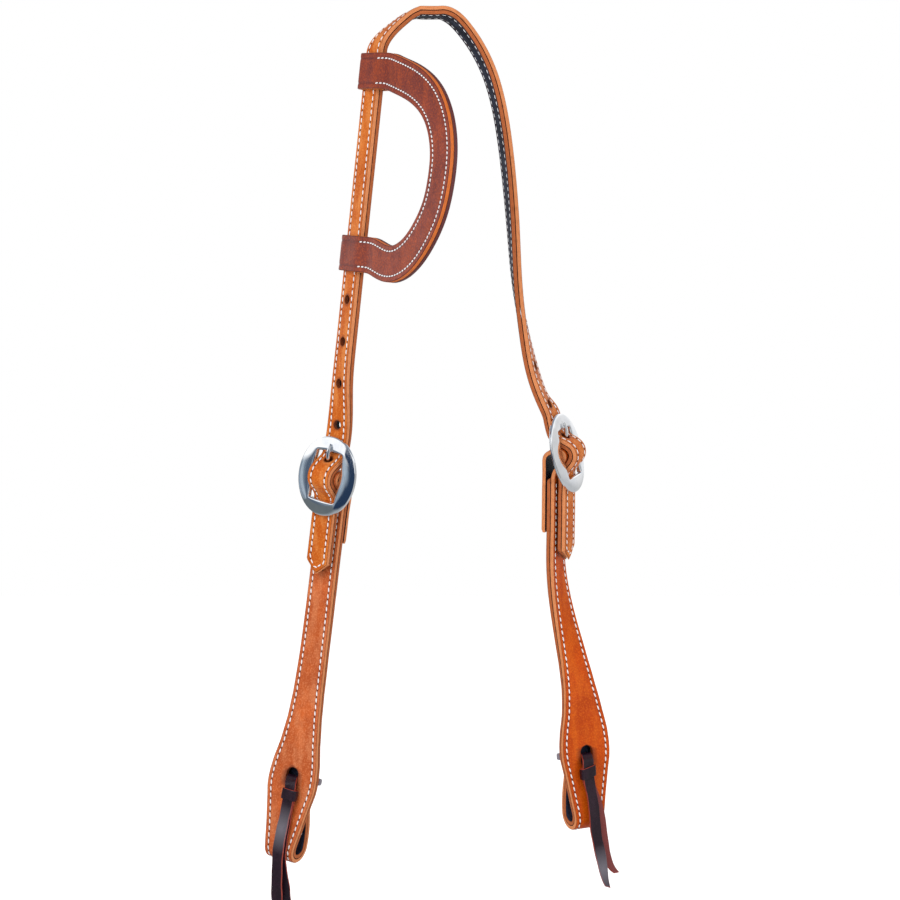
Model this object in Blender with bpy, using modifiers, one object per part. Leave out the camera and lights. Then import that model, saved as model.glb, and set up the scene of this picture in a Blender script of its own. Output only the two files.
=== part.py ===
# Western headstall: one crown strap, a sliding ear piece, two centre-bar buckles,
# two cheek pieces with folded bit loops, and the thongs that tie the loops shut.
# Metres, +Z up, origin under the crown's top, where the strap rests on the poll.

import math
from collections import namedtuple

import bmesh
import bpy
import numpy as np
from mathutils import Matrix, Vector

# Leather
PLY = 0.0025
SEAM_GAP = 0.0003
STRAP_THICKNESS = 2 * PLY + SEAM_GAP
EDGE_ROUND = 0.0006
STRAP_WIDTH = 0.016
RUNNING_GAP = 0.0005
WELD_GAP = 0.00002

# Where the left and right buckles hang, and how the legs reach them
LEFT_REACH = 0.0630
LEFT_DEPTH = 0.0140
LEFT_DROP = 0.2762
RIGHT_REACH = 0.0840
RIGHT_DEPTH = 0.0220
RIGHT_DROP = 0.2620
POLL_FLAT = 0.0100

# Where the cheeks' bit loops hang, out from, behind and below their buckles
LEFT_FOOT_SPREAD = 0.0300
LEFT_FOOT_SETBACK = 0.0160
LEFT_CHEEK_DROP = 0.2278
RIGHT_FOOT_SPREAD = 0.0142
RIGHT_FOOT_SETBACK = 0.0140
RIGHT_CHEEK_DROP = 0.2240

# Billet ends of the crown strap
LEFT_BILLET = 0.0468
RIGHT_BILLET = 0.0525
POINT_LENGTH = 0.0075
POINT_SHOULDER = 0.0020
HOLE_DIAMETER = 0.0054
HOLE_SPACING = 0.0254
HOLE_COUNT = 5

# Buckle frame, bar and tongue
FRAME_WIDTH = 0.0430
FRAME_HEIGHT = 0.0490
FRAME_THICKNESS = 0.0032
FRAME_ROUND = 0.0011
WINDOW_WIDTH = 0.0196
WINDOW_HEIGHT = 0.0296
WINDOW_ROUND = 0.0012
BAR_RADIUS = 0.0020
BAR_SETBACK = 0.0020
BAR_SEAT = 0.0042
TONGUE_RADIUS = 0.0013
TONGUE_REST = 0.0040
NOTCH_DEPTH = 0.0006
ARCH_REACH = 0.0150
ARCH_HEIGHT = 0.0064
ARCH_SLOPE = math.radians(52.0)

# Cheek pieces
CHEEK_WIDTH = 0.0188
FLARE_WIDTH = 0.0330
FLAP_WIDTH = 0.0210
BILLET_SLACK = 0.0016
ARCH_SLACK = 0.0004
TAIL_SLACK = 0.0008
LEFT_TAIL = 0.0270
RIGHT_TAIL = 0.0340
TAIL_RISE = 0.0092
TAIL_SLANT = 0.0020
FOLD_SLOT_WIDTH = 0.0044
FOLD_SLOT_LENGTH = 0.0136
LOOP_RADIUS = 0.0036
FLARE_RISE = 0.0400
FLAP_RISE = 0.0560
LEFT_SLOT_RISE = 0.0425
RIGHT_SLOT_RISE = 0.0365
SLOT_LENGTH = 0.0140
SLOT_WIDTH = 0.0084
FLAP_SLIT_LENGTH = 0.0092
FLAP_SLIT_WIDTH = 0.0036

# Ear piece
EAR_BAND = 0.0215
EAR_REACH = 0.0850
EAR_DROP = 0.1089
EAR_TOP = 0.0344
EAR_SEAM = 0.0175
EAR_JOINT_GAP = 0.0008
EAR_CORNER = 0.0020

# Tie thongs
THONG_WIDTH = 0.0072
THONG_THICKNESS = 0.0015
TOGGLE_WIDTH = 0.0275
TOGGLE_HEIGHT = 0.0042
TOGGLE_THICKNESS = 0.0034
WRAP_HEIGHT = 0.0066
WRAP_WALL = 0.0009
WRAP_DROP = 0.0090
LEFT_TIE_SHIFT = 0.0030
RIGHT_TIE_SHIFT = -0.0020
TIP_SLANT = 0.0022
TIP_WIDTH = 0.0030
TIP_TAPER = 0.0200

# How finely routes are drawn
LONGEST_FACET = 0.0160
SHARPEST_FACET = math.radians(20.0)
MOST_TWIST = math.radians(5.0)
FINE_STEPS = 1600
CIRCLE_STEPS = 16
FRAME_STEPS = 44
WIRE_STEPS = 8
EYE_STEPS = 14
CUT_OVERRUN = 0.0040

Side = namedtuple(
    "Side", "name centre along across outward hang billet tail foot slot_rise tie_shift")
Foot = namedtuple("Foot", "spot along across face")
Route = namedtuple("Route", "point length stops")


def clear_scene():
    for thing in list(bpy.data.objects):
        bpy.data.objects.remove(thing, do_unlink=True)


def new_collection(name):
    group = bpy.data.collections.new(name)
    bpy.context.scene.collection.children.link(group)
    return group


def finish(name, colour, roughness, metallic):
    material = bpy.data.materials.new(name)
    material.use_nodes = True
    shader = material.node_tree.nodes["Principled BSDF"]
    shader.inputs["Base Color"].default_value = (*colour, 1.0)
    shader.inputs["Roughness"].default_value = roughness
    shader.inputs["Metallic"].default_value = metallic
    return material


def unit(vector):
    return vector / np.linalg.norm(vector)


def level_across(turn):
    """A level width direction: at zero turn the leather faces the front."""
    return np.array([math.cos(turn), -math.sin(turn), 0.0])


def squared(across, heading):
    return unit(across - heading * np.dot(across, heading))


# Routes: a smooth curve through knots, each a place and a width direction
def smooth_route(knots):
    knots = np.array(knots, dtype=float)
    steps = np.linalg.norm(np.diff(knots[:, :3], axis=0), axis=1)
    stops = np.concatenate(([0.0], np.cumsum(steps)))
    count = len(knots)
    system = np.zeros((count, count))
    loads = np.zeros_like(knots)
    system[0, 0] = 1.0
    system[-1, -1] = 1.0
    for i in range(1, count - 1):
        system[i, i - 1] = steps[i - 1]
        system[i, i] = 2 * (steps[i - 1] + steps[i])
        system[i, i + 1] = steps[i]
        rise = (knots[i + 1] - knots[i]) / steps[i]
        fall = (knots[i] - knots[i - 1]) / steps[i - 1]
        loads[i] = 6 * (rise - fall)
    bends = np.linalg.solve(system, loads)

    def point(distance):
        i = int(np.clip(np.searchsorted(stops, distance) - 1, 0, count - 2))
        span = steps[i]
        ahead = stops[i + 1] - distance
        behind = distance - stops[i]
        return (bends[i] * ahead ** 3 / (6 * span) + bends[i + 1] * behind ** 3 / (6 * span)
                + (knots[i] / span - bends[i] * span / 6) * ahead
                + (knots[i + 1] / span - bends[i + 1] * span / 6) * behind)

    return Route(point, stops[-1], stops)


def rows_between(route, start, end):
    """Distances from start to end, closer together where the route bends."""
    fine = np.linspace(start, end, FINE_STEPS)
    frames = [strap_frame(route, distance) for distance in fine]
    spots, headings, acrosses = [np.array([frame[i] for frame in frames]) for i in range(3)]
    lengths = np.linalg.norm(np.diff(spots, axis=0), axis=1)
    turning = np.linalg.norm(np.diff(headings, axis=0), axis=1)
    twisting = np.abs(np.sum(np.diff(acrosses, axis=0) * np.cross(acrosses, headings)[1:], axis=1))
    effort = np.cumsum(lengths / LONGEST_FACET + turning / SHARPEST_FACET + twisting / MOST_TWIST)
    effort = np.concatenate(([0.0], effort))
    count = max(1, math.ceil(effort[-1]))
    return list(np.interp(np.linspace(0.0, effort[-1], count + 1), effort, fine))


def strap_frame(route, distance):
    """Point, heading, width direction and face normal at a distance along the route."""
    reach = SEAM_GAP
    here = route.point(distance)
    heading = unit(route.point(distance + reach)[:3] - route.point(distance - reach)[:3])
    across = squared(here[3:6], heading)
    return here[:3], heading, across, np.cross(across, heading)


# Meshes
def add_object(name, mesh, group, material):
    thing = bpy.data.objects.new(name, mesh)
    group.objects.link(thing)
    if material is not None:
        mesh.materials.append(material)
    return thing


def cutter_object(name, mesh, group):
    thing = add_object(name, mesh, group, None)
    thing.hide_render = True
    thing.display_type = "WIRE"
    return thing


def mesh_from(shape, name):
    mesh = bpy.data.meshes.new(name)
    bmesh.ops.recalc_face_normals(shape, faces=shape.faces)
    shape.to_mesh(mesh)
    shape.free()
    return mesh


def ribbon_mesh(name, rows, columns, place):
    """A grid of rows along the leather and columns across it, laid on its middle surface."""
    shape = bmesh.new()
    bmesh.ops.create_grid(shape, x_segments=rows - 1, y_segments=columns - 1, size=1.0)
    for vertex in shape.verts:
        row = round((vertex.co.x + 1.0) / 2 * (rows - 1))
        share = vertex.co.y
        vertex.co = Vector(place(row, share))
    mesh = bpy.data.meshes.new(name)
    shape.to_mesh(mesh)
    shape.free()
    return mesh


def thicken(thing, thickness, rounding):
    solid = thing.modifiers.new("Leather thickness", "SOLIDIFY")
    solid.thickness = thickness
    solid.offset = 0.0
    solid.use_even_offset = True
    if rounding > 0.0:
        edge = thing.modifiers.new("Rounded edges", "BEVEL")
        edge.width = rounding
        edge.segments = 1
        edge.limit_method = "ANGLE"
        edge.angle_limit = math.radians(50.0)


def cut(thing, cutter):
    knife = thing.modifiers.new("Cut by " + cutter.name, "BOOLEAN")
    knife.operation = "DIFFERENCE"
    knife.solver = "EXACT"
    knife.object = cutter


def join(thing, other):
    weld = thing.modifiers.new("Joined to " + other.name, "BOOLEAN")
    weld.operation = "UNION"
    weld.solver = "EXACT"
    weld.object = other


def frame_matrix(point, x_axis, y_axis, z_axis):
    matrix = Matrix.Identity(4)
    for column, axis in enumerate((x_axis, y_axis, z_axis)):
        for row in range(3):
            matrix[row][column] = axis[row]
    for row in range(3):
        matrix[row][3] = point[row]
    return matrix


def strap_ply(name, route, rows, offset, half_width, thickness, rounding, end_shape, group,
              material):
    """One leather ply, offset from its route along the route's normal."""
    def place(row, share):
        distance = rows[row] + end_shape(row, share)
        point, _, across, normal = strap_frame(route, distance)
        return point + normal * offset + across * (share * half_width(distance))

    thing = add_object(name, ribbon_mesh(name, len(rows), 3, place), group, material)
    thicken(thing, thickness, rounding)
    return thing


def square_end(row, share):
    return 0.0


def punch(name, places, radius, depth, group):
    """One cutter that holds a round punch for each place, square to the leather."""
    shape = bmesh.new()
    for point, heading, across, normal in places:
        bmesh.ops.create_cone(shape, cap_ends=True, segments=CIRCLE_STEPS, radius1=radius,
                              radius2=radius, depth=depth,
                              matrix=frame_matrix(point, heading, across, normal))
    return cutter_object(name, mesh_from(shape, name), group)


def slot_punch(name, length, width, depth, matrix, group):
    """An oblong punch with round ends: two round punches joined by a block."""
    half = (length - width) / 2
    shape = bmesh.new()
    outline = []
    for end in (-1, 1):
        for i in range(CIRCLE_STEPS // 2 + 1):
            angle = math.pi * i / (CIRCLE_STEPS // 2) - math.pi / 2
            x = end * (half + math.cos(angle) * width / 2)
            y = end * math.sin(angle) * width / 2
            outline.append(shape.verts.new((x, y, -depth / 2)))
    base = shape.faces.new(outline)
    grown = bmesh.ops.extrude_face_region(shape, geom=[base])
    tops = [item for item in grown["geom"] if isinstance(item, bmesh.types.BMVert)]
    bmesh.ops.translate(shape, verts=tops, vec=(0.0, 0.0, depth))
    bmesh.ops.transform(shape, matrix=matrix, verts=shape.verts)
    return cutter_object(name, mesh_from(shape, name), group)


# Sides: each buckle's own axes, and the cheek's foot below it
def make_side(name, centre, lean_shares, turn, hang, billet, tail, foot_reach, foot_lean_shares,
              foot_turn, slot_rise, tie_shift):
    centre = np.array(centre)
    along = unit(np.array(lean_shares))
    across = squared(level_across(turn), along)
    foot_along = unit(np.array(foot_lean_shares))
    foot_across = squared(level_across(foot_turn), foot_along)
    foot = Foot(centre + foot_reach, foot_along, foot_across,
                np.cross(foot_across, foot_along))
    return Side(name, centre, along, across, np.cross(across, along), hang, billet, tail, foot,
                slot_rise, tie_shift)


def buckle_point(side, along, outward, across=0.0):
    return side.centre + side.along * along + side.outward * outward + side.across * across


STRAP_BACK = -(FRAME_THICKNESS / 2 + SEAM_GAP + STRAP_THICKNESS / 2)
PLY_STEP = PLY + SEAM_GAP
CHEEK_BACK = STRAP_THICKNESS / 2 + BILLET_SLACK + PLY / 2
TAIL_BACK = CHEEK_BACK + PLY_STEP + PLY + TAIL_SLACK
# The arch is a hollow arc, a straight slope and a crest arc of one radius
ARCH_RISE = ARCH_HEIGHT - STRAP_BACK
ARCH_RADIUS = ((ARCH_REACH * math.sin(ARCH_SLOPE) - ARCH_RISE * math.cos(ARCH_SLOPE))
               / (2 * (1 - math.cos(ARCH_SLOPE))))


def hollow_spot(radius, share):
    """On an arc about the lower hollow's centre: zero share is level with the arch's start."""
    angle = ARCH_SLOPE * share
    return (-ARCH_REACH + radius * math.sin(angle),
            STRAP_BACK + ARCH_RADIUS - radius * math.cos(angle))


def arch_spots():
    """The billet's centre line through the window, from below the bar to above it."""
    lower = [hollow_spot(ARCH_RADIUS, share) for share in HOLLOW_SHARES]
    crest = [(ARCH_RADIUS * math.sin(ARCH_SLOPE * share),
              ARCH_HEIGHT - ARCH_RADIUS * (1 - math.cos(ARCH_SLOPE * share)))
             for share in CREST_SHARES]
    return lower + crest + [(-along, out) for along, out in reversed(lower)]


def hang_point(side, down, outward):
    """A place below the frame, measured down the hanging billet and out from its centre."""
    falling = -side.along * math.cos(side.hang) - side.outward * math.sin(side.hang)
    facing = side.outward * math.cos(side.hang) - side.along * math.sin(side.hang)
    return buckle_point(side, -ARCH_REACH, STRAP_BACK) + falling * down + facing * outward


def foot_point(side, up, outward, across=0.0):
    foot = side.foot
    return foot.spot + foot.along * up + foot.face * outward + foot.across * across


def knot(spot, across):
    return [*spot, *across]


LEFT = make_side(
    "left", (-LEFT_REACH, LEFT_DEPTH, -LEFT_DROP), (0.20, -0.12, 1.0), math.radians(33.0),
    math.radians(7.0), LEFT_BILLET, LEFT_TAIL,
    (-LEFT_FOOT_SPREAD, LEFT_FOOT_SETBACK, -LEFT_CHEEK_DROP), (0.195, 0.0, 1.0),
    math.radians(26.0), LEFT_SLOT_RISE, LEFT_TIE_SHIFT)
RIGHT = make_side(
    "right", (RIGHT_REACH, RIGHT_DEPTH, -RIGHT_DROP), (-0.26, -0.13, 1.0), math.radians(298.0),
    math.radians(16.0), RIGHT_BILLET, RIGHT_TAIL,
    (RIGHT_FOOT_SPREAD, RIGHT_FOOT_SETBACK, -RIGHT_CHEEK_DROP), (-0.06, 0.0, 1.0),
    math.radians(335.0), RIGHT_SLOT_RISE, RIGHT_TIE_SHIFT)

HOLLOW_SHARES = (0.0, 0.5, 1.0)
CREST_SHARES = (-1.0, -0.5, 0.0, 0.5, 1.0)
# Crown strap: shares of each leg's reach, depth and drop, and the strap's turn in degrees
LEFT_LEG_SHARES = (
    (0.845, 0.72, 0.800, 52.0), (0.795, 0.36, 0.690, 56.0), (0.502, -0.639, 0.0797, 56.0),
    (0.410, -0.57, 0.043, 60.0), (0.284, -0.36, 0.015, 65.0))
STRAIGHT_SHARES = (0.02, 0.04, 0.07, 0.12, 0.22, 0.5, 0.78, 0.88, 0.93, 0.96, 0.98)
RIGHT_LEG_SHARES = (
    (0.250, 0.18, 0.0267, 73.0), (0.431, 0.36, 0.1275, 76.0), (0.525, 0.41, 0.253, 77.0),
    (0.569, 0.45, 0.368, 78.0), (0.599, 0.50, 0.482, 81.0), (0.630, 0.55, 0.616, 88.0),
    (0.681, 0.64, 0.725, 97.0), (0.748, 0.73, 0.818, 106.0), (0.836, 0.82, 0.888, 112.0))
POLL_SHARES = ((-0.62, 69.0), (-0.5, 69.0), (0.5, 71.0), (0.62, 71.0))
HANG_SHARES = (1.0, 0.66, 0.33, 0.14)


def leg_knots(reach, depth, drop, shares):
    return [np.array(knot((x * reach, y * depth, -z * drop), level_across(math.radians(turn))))
            for x, y, z, turn in shares]


def billet_knots(side, across):
    """The billet's end, its arch over the bar and its lead behind the frame's top."""
    spots = [hang_point(side, side.billet * share, 0.0) for share in HANG_SHARES]
    spots += [buckle_point(side, along, out) for along, out in arch_spots()]
    spots.append(buckle_point(side, FRAME_HEIGHT / 2, STRAP_BACK))
    return [knot(spot, across) for spot in spots]


def crown_knots():
    """From the left billet's end, over the poll, to the right billet's end."""
    knots = billet_knots(LEFT, LEFT.across)
    leg = leg_knots(-LEFT_REACH, LEFT_DEPTH, LEFT_DROP, LEFT_LEG_SHARES)
    straight = [leg[1] + (leg[2] - leg[1]) * share for share in STRAIGHT_SHARES]
    knots += [*leg[:2], *straight, *leg[2:]]
    poll = len(knots) + 1
    for share, turn in POLL_SHARES:
        knots.append(knot((share * POLL_FLAT, 0.0, STRAP_THICKNESS / 2),
                          level_across(math.radians(turn))))
    knots += leg_knots(RIGHT_REACH, RIGHT_DEPTH, RIGHT_DROP, RIGHT_LEG_SHARES)
    knots += reversed(billet_knots(RIGHT, -RIGHT.across))
    return knots, poll


EYE_RADIUS = BAR_RADIUS + SEAM_GAP + TONGUE_RADIUS
NOTCH_RADIUS = TONGUE_RADIUS + SEAM_GAP + EDGE_ROUND / 2


def tongue_line(side):
    """The tongue's bent centre line, from the bar up through the billet to the frame's top."""
    rest = FRAME_THICKNESS / 2 - NOTCH_DEPTH + SEAM_GAP + TONGUE_RADIUS
    return [buckle_point(side, EYE_RADIUS, -BAR_SETBACK),
            buckle_point(side, EYE_RADIUS + TONGUE_RADIUS, -BAR_SETBACK),
            buckle_point(side, WINDOW_HEIGHT / 2 - TONGUE_RADIUS, rest),
            buckle_point(side, WINDOW_HEIGHT / 2 + TONGUE_REST, rest)]


def tongue_hole(route, side, near):
    """Distance along the crown strap where the tongue's line crosses its centre."""
    line = tongue_line(side)
    best = None
    for distance in np.linspace(near - ARCH_REACH, near + ARCH_REACH, FINE_STEPS // 4):
        here = route.point(distance)[:3]
        for share in np.linspace(0.0, 1.0, CIRCLE_STEPS * 4):
            spot = line[1] + (line[2] - line[1]) * share
            gap = np.linalg.norm(spot - here)
            if best is None or gap < best[0]:
                best = (gap, distance)
    return best[1]


def build_crown(group, cutters, golden, lining):
    knots, poll = crown_knots()
    route = smooth_route(knots)
    crest = len(HANG_SHARES) + len(HOLLOW_SHARES) + len(CREST_SHARES) // 2
    left_crest = route.stops[crest]
    right_crest = route.stops[len(knots) - 1 - crest]
    rows = rows_between(route, 0.0, route.stops[poll])
    rows += rows_between(route, route.stops[poll + 1], route.length)
    last = len(rows) - 1

    def pointed(row, share):
        taper = POINT_LENGTH * (1.0 - abs(share))
        return -taper if row == 0 else taper if row == last else 0.0

    rows[0] += POINT_LENGTH
    rows[-1] -= POINT_LENGTH
    rows[1] = max(rows[1], rows[0] + POINT_SHOULDER)
    rows[-2] = min(rows[-2], rows[-1] - POINT_SHOULDER)
    plies = [strap_ply(name, route, rows, offset, lambda _: STRAP_WIDTH / 2, PLY, rounding,
                       pointed, group, material)
             for name, offset, rounding, material in (
                 ("crown_strap_outer", PLY_STEP / 2, EDGE_ROUND, golden),
                 ("crown_strap_lining", -PLY_STEP / 2, 0.0, lining))]
    places = []
    for side, near, step in ((LEFT, left_crest + ARCH_REACH / 2, 1),
                             (RIGHT, right_crest - ARCH_REACH / 2, -1)):
        first = tongue_hole(route, side, near)
        for i in range(HOLE_COUNT):
            places.append(strap_frame(route, first + step * HOLE_SPACING * i))
    cutter = punch("strap_hole_punches", places, HOLE_DIAMETER / 2,
                   STRAP_THICKNESS + CUT_OVERRUN, cutters)
    for ply in plies:
        cut(ply, cutter)


# Buckles
def build_buckle(side, group, cutters, steel):
    matrix = frame_matrix(side.centre, side.across, side.along, side.outward)
    shape = bmesh.new()
    bmesh.ops.create_cone(shape, cap_ends=True, segments=FRAME_STEPS, radius1=0.5, radius2=0.5,
                          depth=1.0)
    bmesh.ops.scale(shape, vec=(FRAME_WIDTH, FRAME_HEIGHT, FRAME_THICKNESS), verts=shape.verts)
    rims = [edge for edge in shape.edges if len(edge.link_faces) == 2
            and abs(edge.verts[0].co.z - edge.verts[1].co.z) < SEAM_GAP]
    bmesh.ops.bevel(shape, geom=rims, offset=FRAME_ROUND, segments=3, profile=0.5,
                    affect="EDGES")
    bmesh.ops.transform(shape, matrix=matrix, verts=shape.verts)
    plate = add_object(side.name + "_buckle_frame", mesh_from(shape, side.name + "_buckle_frame"),
                       group, steel)

    shape = bmesh.new()
    bmesh.ops.create_cube(shape, size=1.0)
    bmesh.ops.scale(shape, vec=(WINDOW_WIDTH, WINDOW_HEIGHT, FRAME_THICKNESS + CUT_OVERRUN),
                    verts=shape.verts)
    corners = [edge for edge in shape.edges
               if abs(edge.verts[0].co.z - edge.verts[1].co.z) > FRAME_THICKNESS]
    bmesh.ops.bevel(shape, geom=corners, offset=WINDOW_ROUND, segments=2, profile=0.5,
                    affect="EDGES")
    bmesh.ops.transform(shape, matrix=matrix, verts=shape.verts)
    window = cutter_object(side.name + "_window_cutter",
                           mesh_from(shape, side.name + "_window_cutter"), cutters)

    rest = buckle_point(side, WINDOW_HEIGHT / 2, FRAME_THICKNESS / 2 - NOTCH_DEPTH
                        + NOTCH_RADIUS)
    shape = bmesh.new()
    bmesh.ops.create_cone(shape, cap_ends=True, segments=CIRCLE_STEPS, radius1=NOTCH_RADIUS,
                          radius2=NOTCH_RADIUS, depth=2 * (TONGUE_REST + TONGUE_RADIUS),
                          matrix=frame_matrix(rest, side.outward, side.across, side.along))
    notch = cutter_object(side.name + "_notch_cutter",
                          mesh_from(shape, side.name + "_notch_cutter"), cutters)

    shape = bmesh.new()
    bmesh.ops.create_cone(shape, cap_ends=True, segments=CIRCLE_STEPS, radius1=BAR_RADIUS,
                          radius2=BAR_RADIUS, depth=WINDOW_WIDTH + 2 * BAR_SEAT,
                          matrix=frame_matrix(buckle_point(side, 0.0, -BAR_SETBACK), side.outward,
                                              side.along, -side.across))
    bar = cutter_object(side.name + "_bar_core", mesh_from(shape, side.name + "_bar_core"),
                        cutters)
    cut(plate, window)
    cut(plate, notch)
    join(plate, bar)
    return plate


def build_tongue(side, group, cutters, steel):
    """A wire eye round the bar, joined to a bent shank."""
    name = side.name + "_buckle_tongue"
    shape = bmesh.new()
    bmesh.ops.create_circle(shape, cap_ends=False, segments=WIRE_STEPS, radius=TONGUE_RADIUS,
                            matrix=Matrix.Translation((EYE_RADIUS, 0.0, 0.0))
                            @ Matrix.Rotation(math.pi / 2, 4, "X"))
    mesh = mesh_from(shape, name)
    eye = add_object(name, mesh, group, steel)
    turn = eye.modifiers.new("Eye round the bar", "SCREW")
    turn.angle = 2 * math.pi
    turn.steps = EYE_STEPS
    turn.render_steps = EYE_STEPS
    turn.use_merge_vertices = True
    turn.merge_threshold = WELD_GAP
    turn.use_normal_calculate = True
    eye.matrix_world = frame_matrix(buckle_point(side, 0.0, -BAR_SETBACK), side.outward,
                                    side.along, -side.across)

    route = smooth_route([knot(spot, side.across) for spot in tongue_line(side)])
    curve = bpy.data.curves.new(name + "_shank", "CURVE")
    curve.dimensions = "3D"
    curve.bevel_depth = TONGUE_RADIUS
    curve.bevel_resolution = 2
    curve.use_fill_caps = True
    spline = curve.splines.new("POLY")
    count = WIRE_STEPS
    spline.points.add(count)
    for i in range(count + 1):
        spot = route.point(route.length * i / count)
        spline.points[i].co = (*spot[:3], 1.0)
    shank_curve = bpy.data.objects.new(name + "_shank", curve)
    cutters.objects.link(shank_curve)
    bpy.context.view_layer.update()
    evaluated = shank_curve.evaluated_get(bpy.context.evaluated_depsgraph_get())
    mesh = bpy.data.meshes.new_from_object(evaluated)
    shape = bmesh.new()
    shape.from_mesh(mesh)
    bmesh.ops.remove_doubles(shape, verts=shape.verts, dist=WELD_GAP)
    shape.to_mesh(mesh)
    shape.free()
    bpy.data.objects.remove(shank_curve)
    shank = cutter_object(name + "_shank_core", mesh, cutters)
    join(eye, shank)
    return eye


# Cheek pieces
LOOP_OUTER = LOOP_RADIUS + PLY + SEAM_GAP + PLY / 2
FLAP_BACK = PLY_STEP + PLY + RUNNING_GAP + PLY_STEP
BAR_WRAP = BAR_RADIUS + SEAM_GAP + PLY / 2
# The tie slot's punch ends between the flare and the flap, where the flap's slit starts
SLOT_FRONT = PLY / 2 + CUT_OVERRUN / 2
SLOT_FLOOR = -(PLY_STEP + PLY / 2 + RUNNING_GAP / 2)
SLIT_BACK = -(FLAP_BACK + PLY / 2 + CUT_OVERRUN / 2)
TAIL_SHARES = (1.0, 0.6, 0.2)
FOLD_BEND_SHARES = (1.0, 0.66, 0.33)
# Places round the bar, in degrees: 180 is behind it, 90 above it, 0 in front of it
WRAP_DEGREES = (95.0, 75.0, 45.0, 15.0, -15.0, -40.0)
# Where the fold turns down behind the bar: degrees, and shares of the wrap's radius
FOLD_BACK_SHARES = ((169.0, 2.62), (151.0, 1.96), (124.0, 1.22))
LOWER_SHARES = (1.55, 1.0, 0.55, 0.2, 0.0)
LOOP_STEPS = 6
FLAP_SHARES = ((0.1, 0.97), (0.25, 0.75), (0.4, 0.34), (0.5, 0.10), (0.58, 0.01), (0.7, 0.0),
               (0.85, 0.0), (1.0, 0.0))
# Width up the cheek: shares of the flare's rise above the loop, and of the flare's spread
FLARE_SHARES = (
    (-0.3, 0.0), (0.0, 0.08), (0.37, 0.42), (0.69, 0.74), (0.88, 0.96), (1.0, 1.0), (1.12, 0.98),
    (1.32, 0.85), (1.6, 0.53), (2.0, 0.23), (2.4, 0.08), (3.0, 0.0))


def cheek_knots(side):
    """From the tail's end, up behind the bar, over it, down the front, round the loop and up."""
    def around_bar(radius, degrees):
        angle = math.radians(degrees)
        return buckle_point(side, radius * math.sin(angle),
                            radius * math.cos(angle) - BAR_SETBACK)

    fold_radius = ARCH_RADIUS + CHEEK_BACK
    taken = BILLET_SLACK - ARCH_SLACK
    spots = [hang_point(side, side.tail * share, -TAIL_BACK) for share in TAIL_SHARES]
    spots.append(hang_point(side, -TAIL_RISE, -TAIL_BACK))
    spots += [around_bar(BAR_WRAP * share, degrees) for degrees, share in FOLD_BACK_SHARES]
    spots += [around_bar(BAR_WRAP, degrees) for degrees in WRAP_DEGREES]
    spots += [buckle_point(side, *hollow_spot(fold_radius - taken * share, share))
              for share in FOLD_BEND_SHARES]
    lining_start = len(spots)
    spots += [hang_point(side, side.billet * share, -CHEEK_BACK)
              for share in (0.0, *reversed(HANG_SHARES))]
    knots = [knot(spot, side.across) for spot in spots]
    fold = len(knots) + len(LOWER_SHARES) - 1
    spots = [foot_point(side, FLARE_RISE * share, 0.0) for share in LOWER_SHARES]
    for i in range(1, LOOP_STEPS + 1):
        angle = math.pi * i / LOOP_STEPS
        spots.append(foot_point(side, -LOOP_OUTER * math.sin(angle),
                                -LOOP_OUTER * (1.0 - math.cos(angle))))
    for rise, back in FLAP_SHARES:
        inward = FLAP_BACK + (2 * LOOP_OUTER - FLAP_BACK) * back
        spots.append(foot_point(side, FLAP_RISE * rise, -inward))
    knots += [knot(spot, side.foot.across) for spot in spots]
    return knots, lining_start, fold


def build_cheek(side, group, cutters, golden, lining):
    knots, lining_start, fold = cheek_knots(side)
    route = smooth_route(knots)
    fold_start = route.stops[fold]
    fold_end = route.stops[fold + LOOP_STEPS]
    middle = (fold_start + fold_end) / 2
    seat = LOOP_RADIUS / 2
    rows = rows_between(route, 0.0, middle - seat)
    rows += rows_between(route, middle + seat, route.length)
    spread = (FLARE_WIDTH - CHEEK_WIDTH) / 2
    rises = [share for share, _ in FLARE_SHARES]
    widths = [share for _, share in FLARE_SHARES]

    def half_width(distance):
        if distance > middle:
            share = min((distance - middle) / (fold_end - middle), 1.0)
            return (CHEEK_WIDTH + (FLAP_WIDTH - CHEEK_WIDTH) * share) / 2
        rise = (fold_start - distance) / FLARE_RISE
        return CHEEK_WIDTH / 2 + spread * float(np.interp(rise, rises, widths))

    def slanted(row, share):
        return TAIL_SLANT * share if row == 0 else 0.0

    rows[0] += TAIL_SLANT
    outer = strap_ply(side.name + "_cheek_outer", route, rows, 0.0, half_width, PLY, EDGE_ROUND,
                      slanted, group, golden)
    inner_rows = [distance for distance in rows if distance >= route.stops[lining_start]]
    inner = strap_ply(side.name + "_cheek_lining", route, inner_rows, PLY_STEP, half_width, PLY,
                      0.0, square_end, group, lining)

    clear = 2 * (EYE_RADIUS + TONGUE_RADIUS + BILLET_SLACK)
    tongue_slot = slot_punch(side.name + "_fold_slot_punch", FOLD_SLOT_LENGTH, FOLD_SLOT_WIDTH,
                             clear, frame_matrix(buckle_point(side, 0.0, -BAR_SETBACK),
                                                 side.outward, side.across, -side.along), cutters)
    cut(outer, tongue_slot)
    foot = side.foot
    slot = slot_punch(side.name + "_tie_slot_punch", SLOT_LENGTH, SLOT_WIDTH,
                      SLOT_FRONT - SLOT_FLOOR,
                      frame_matrix(foot_point(side, side.slot_rise, (SLOT_FRONT + SLOT_FLOOR) / 2),
                                   foot.along, -foot.across, foot.face), cutters)
    slit = slot_punch(side.name + "_flap_slit_punch", FLAP_SLIT_LENGTH, FLAP_SLIT_WIDTH,
                      SLOT_FLOOR - SLIT_BACK,
                      frame_matrix(foot_point(side, side.slot_rise, (SLOT_FLOOR + SLIT_BACK) / 2),
                                   foot.across, foot.along, foot.face), cutters)
    for ply in (outer, inner):
        cut(ply, slot)
        cut(ply, slit)


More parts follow.
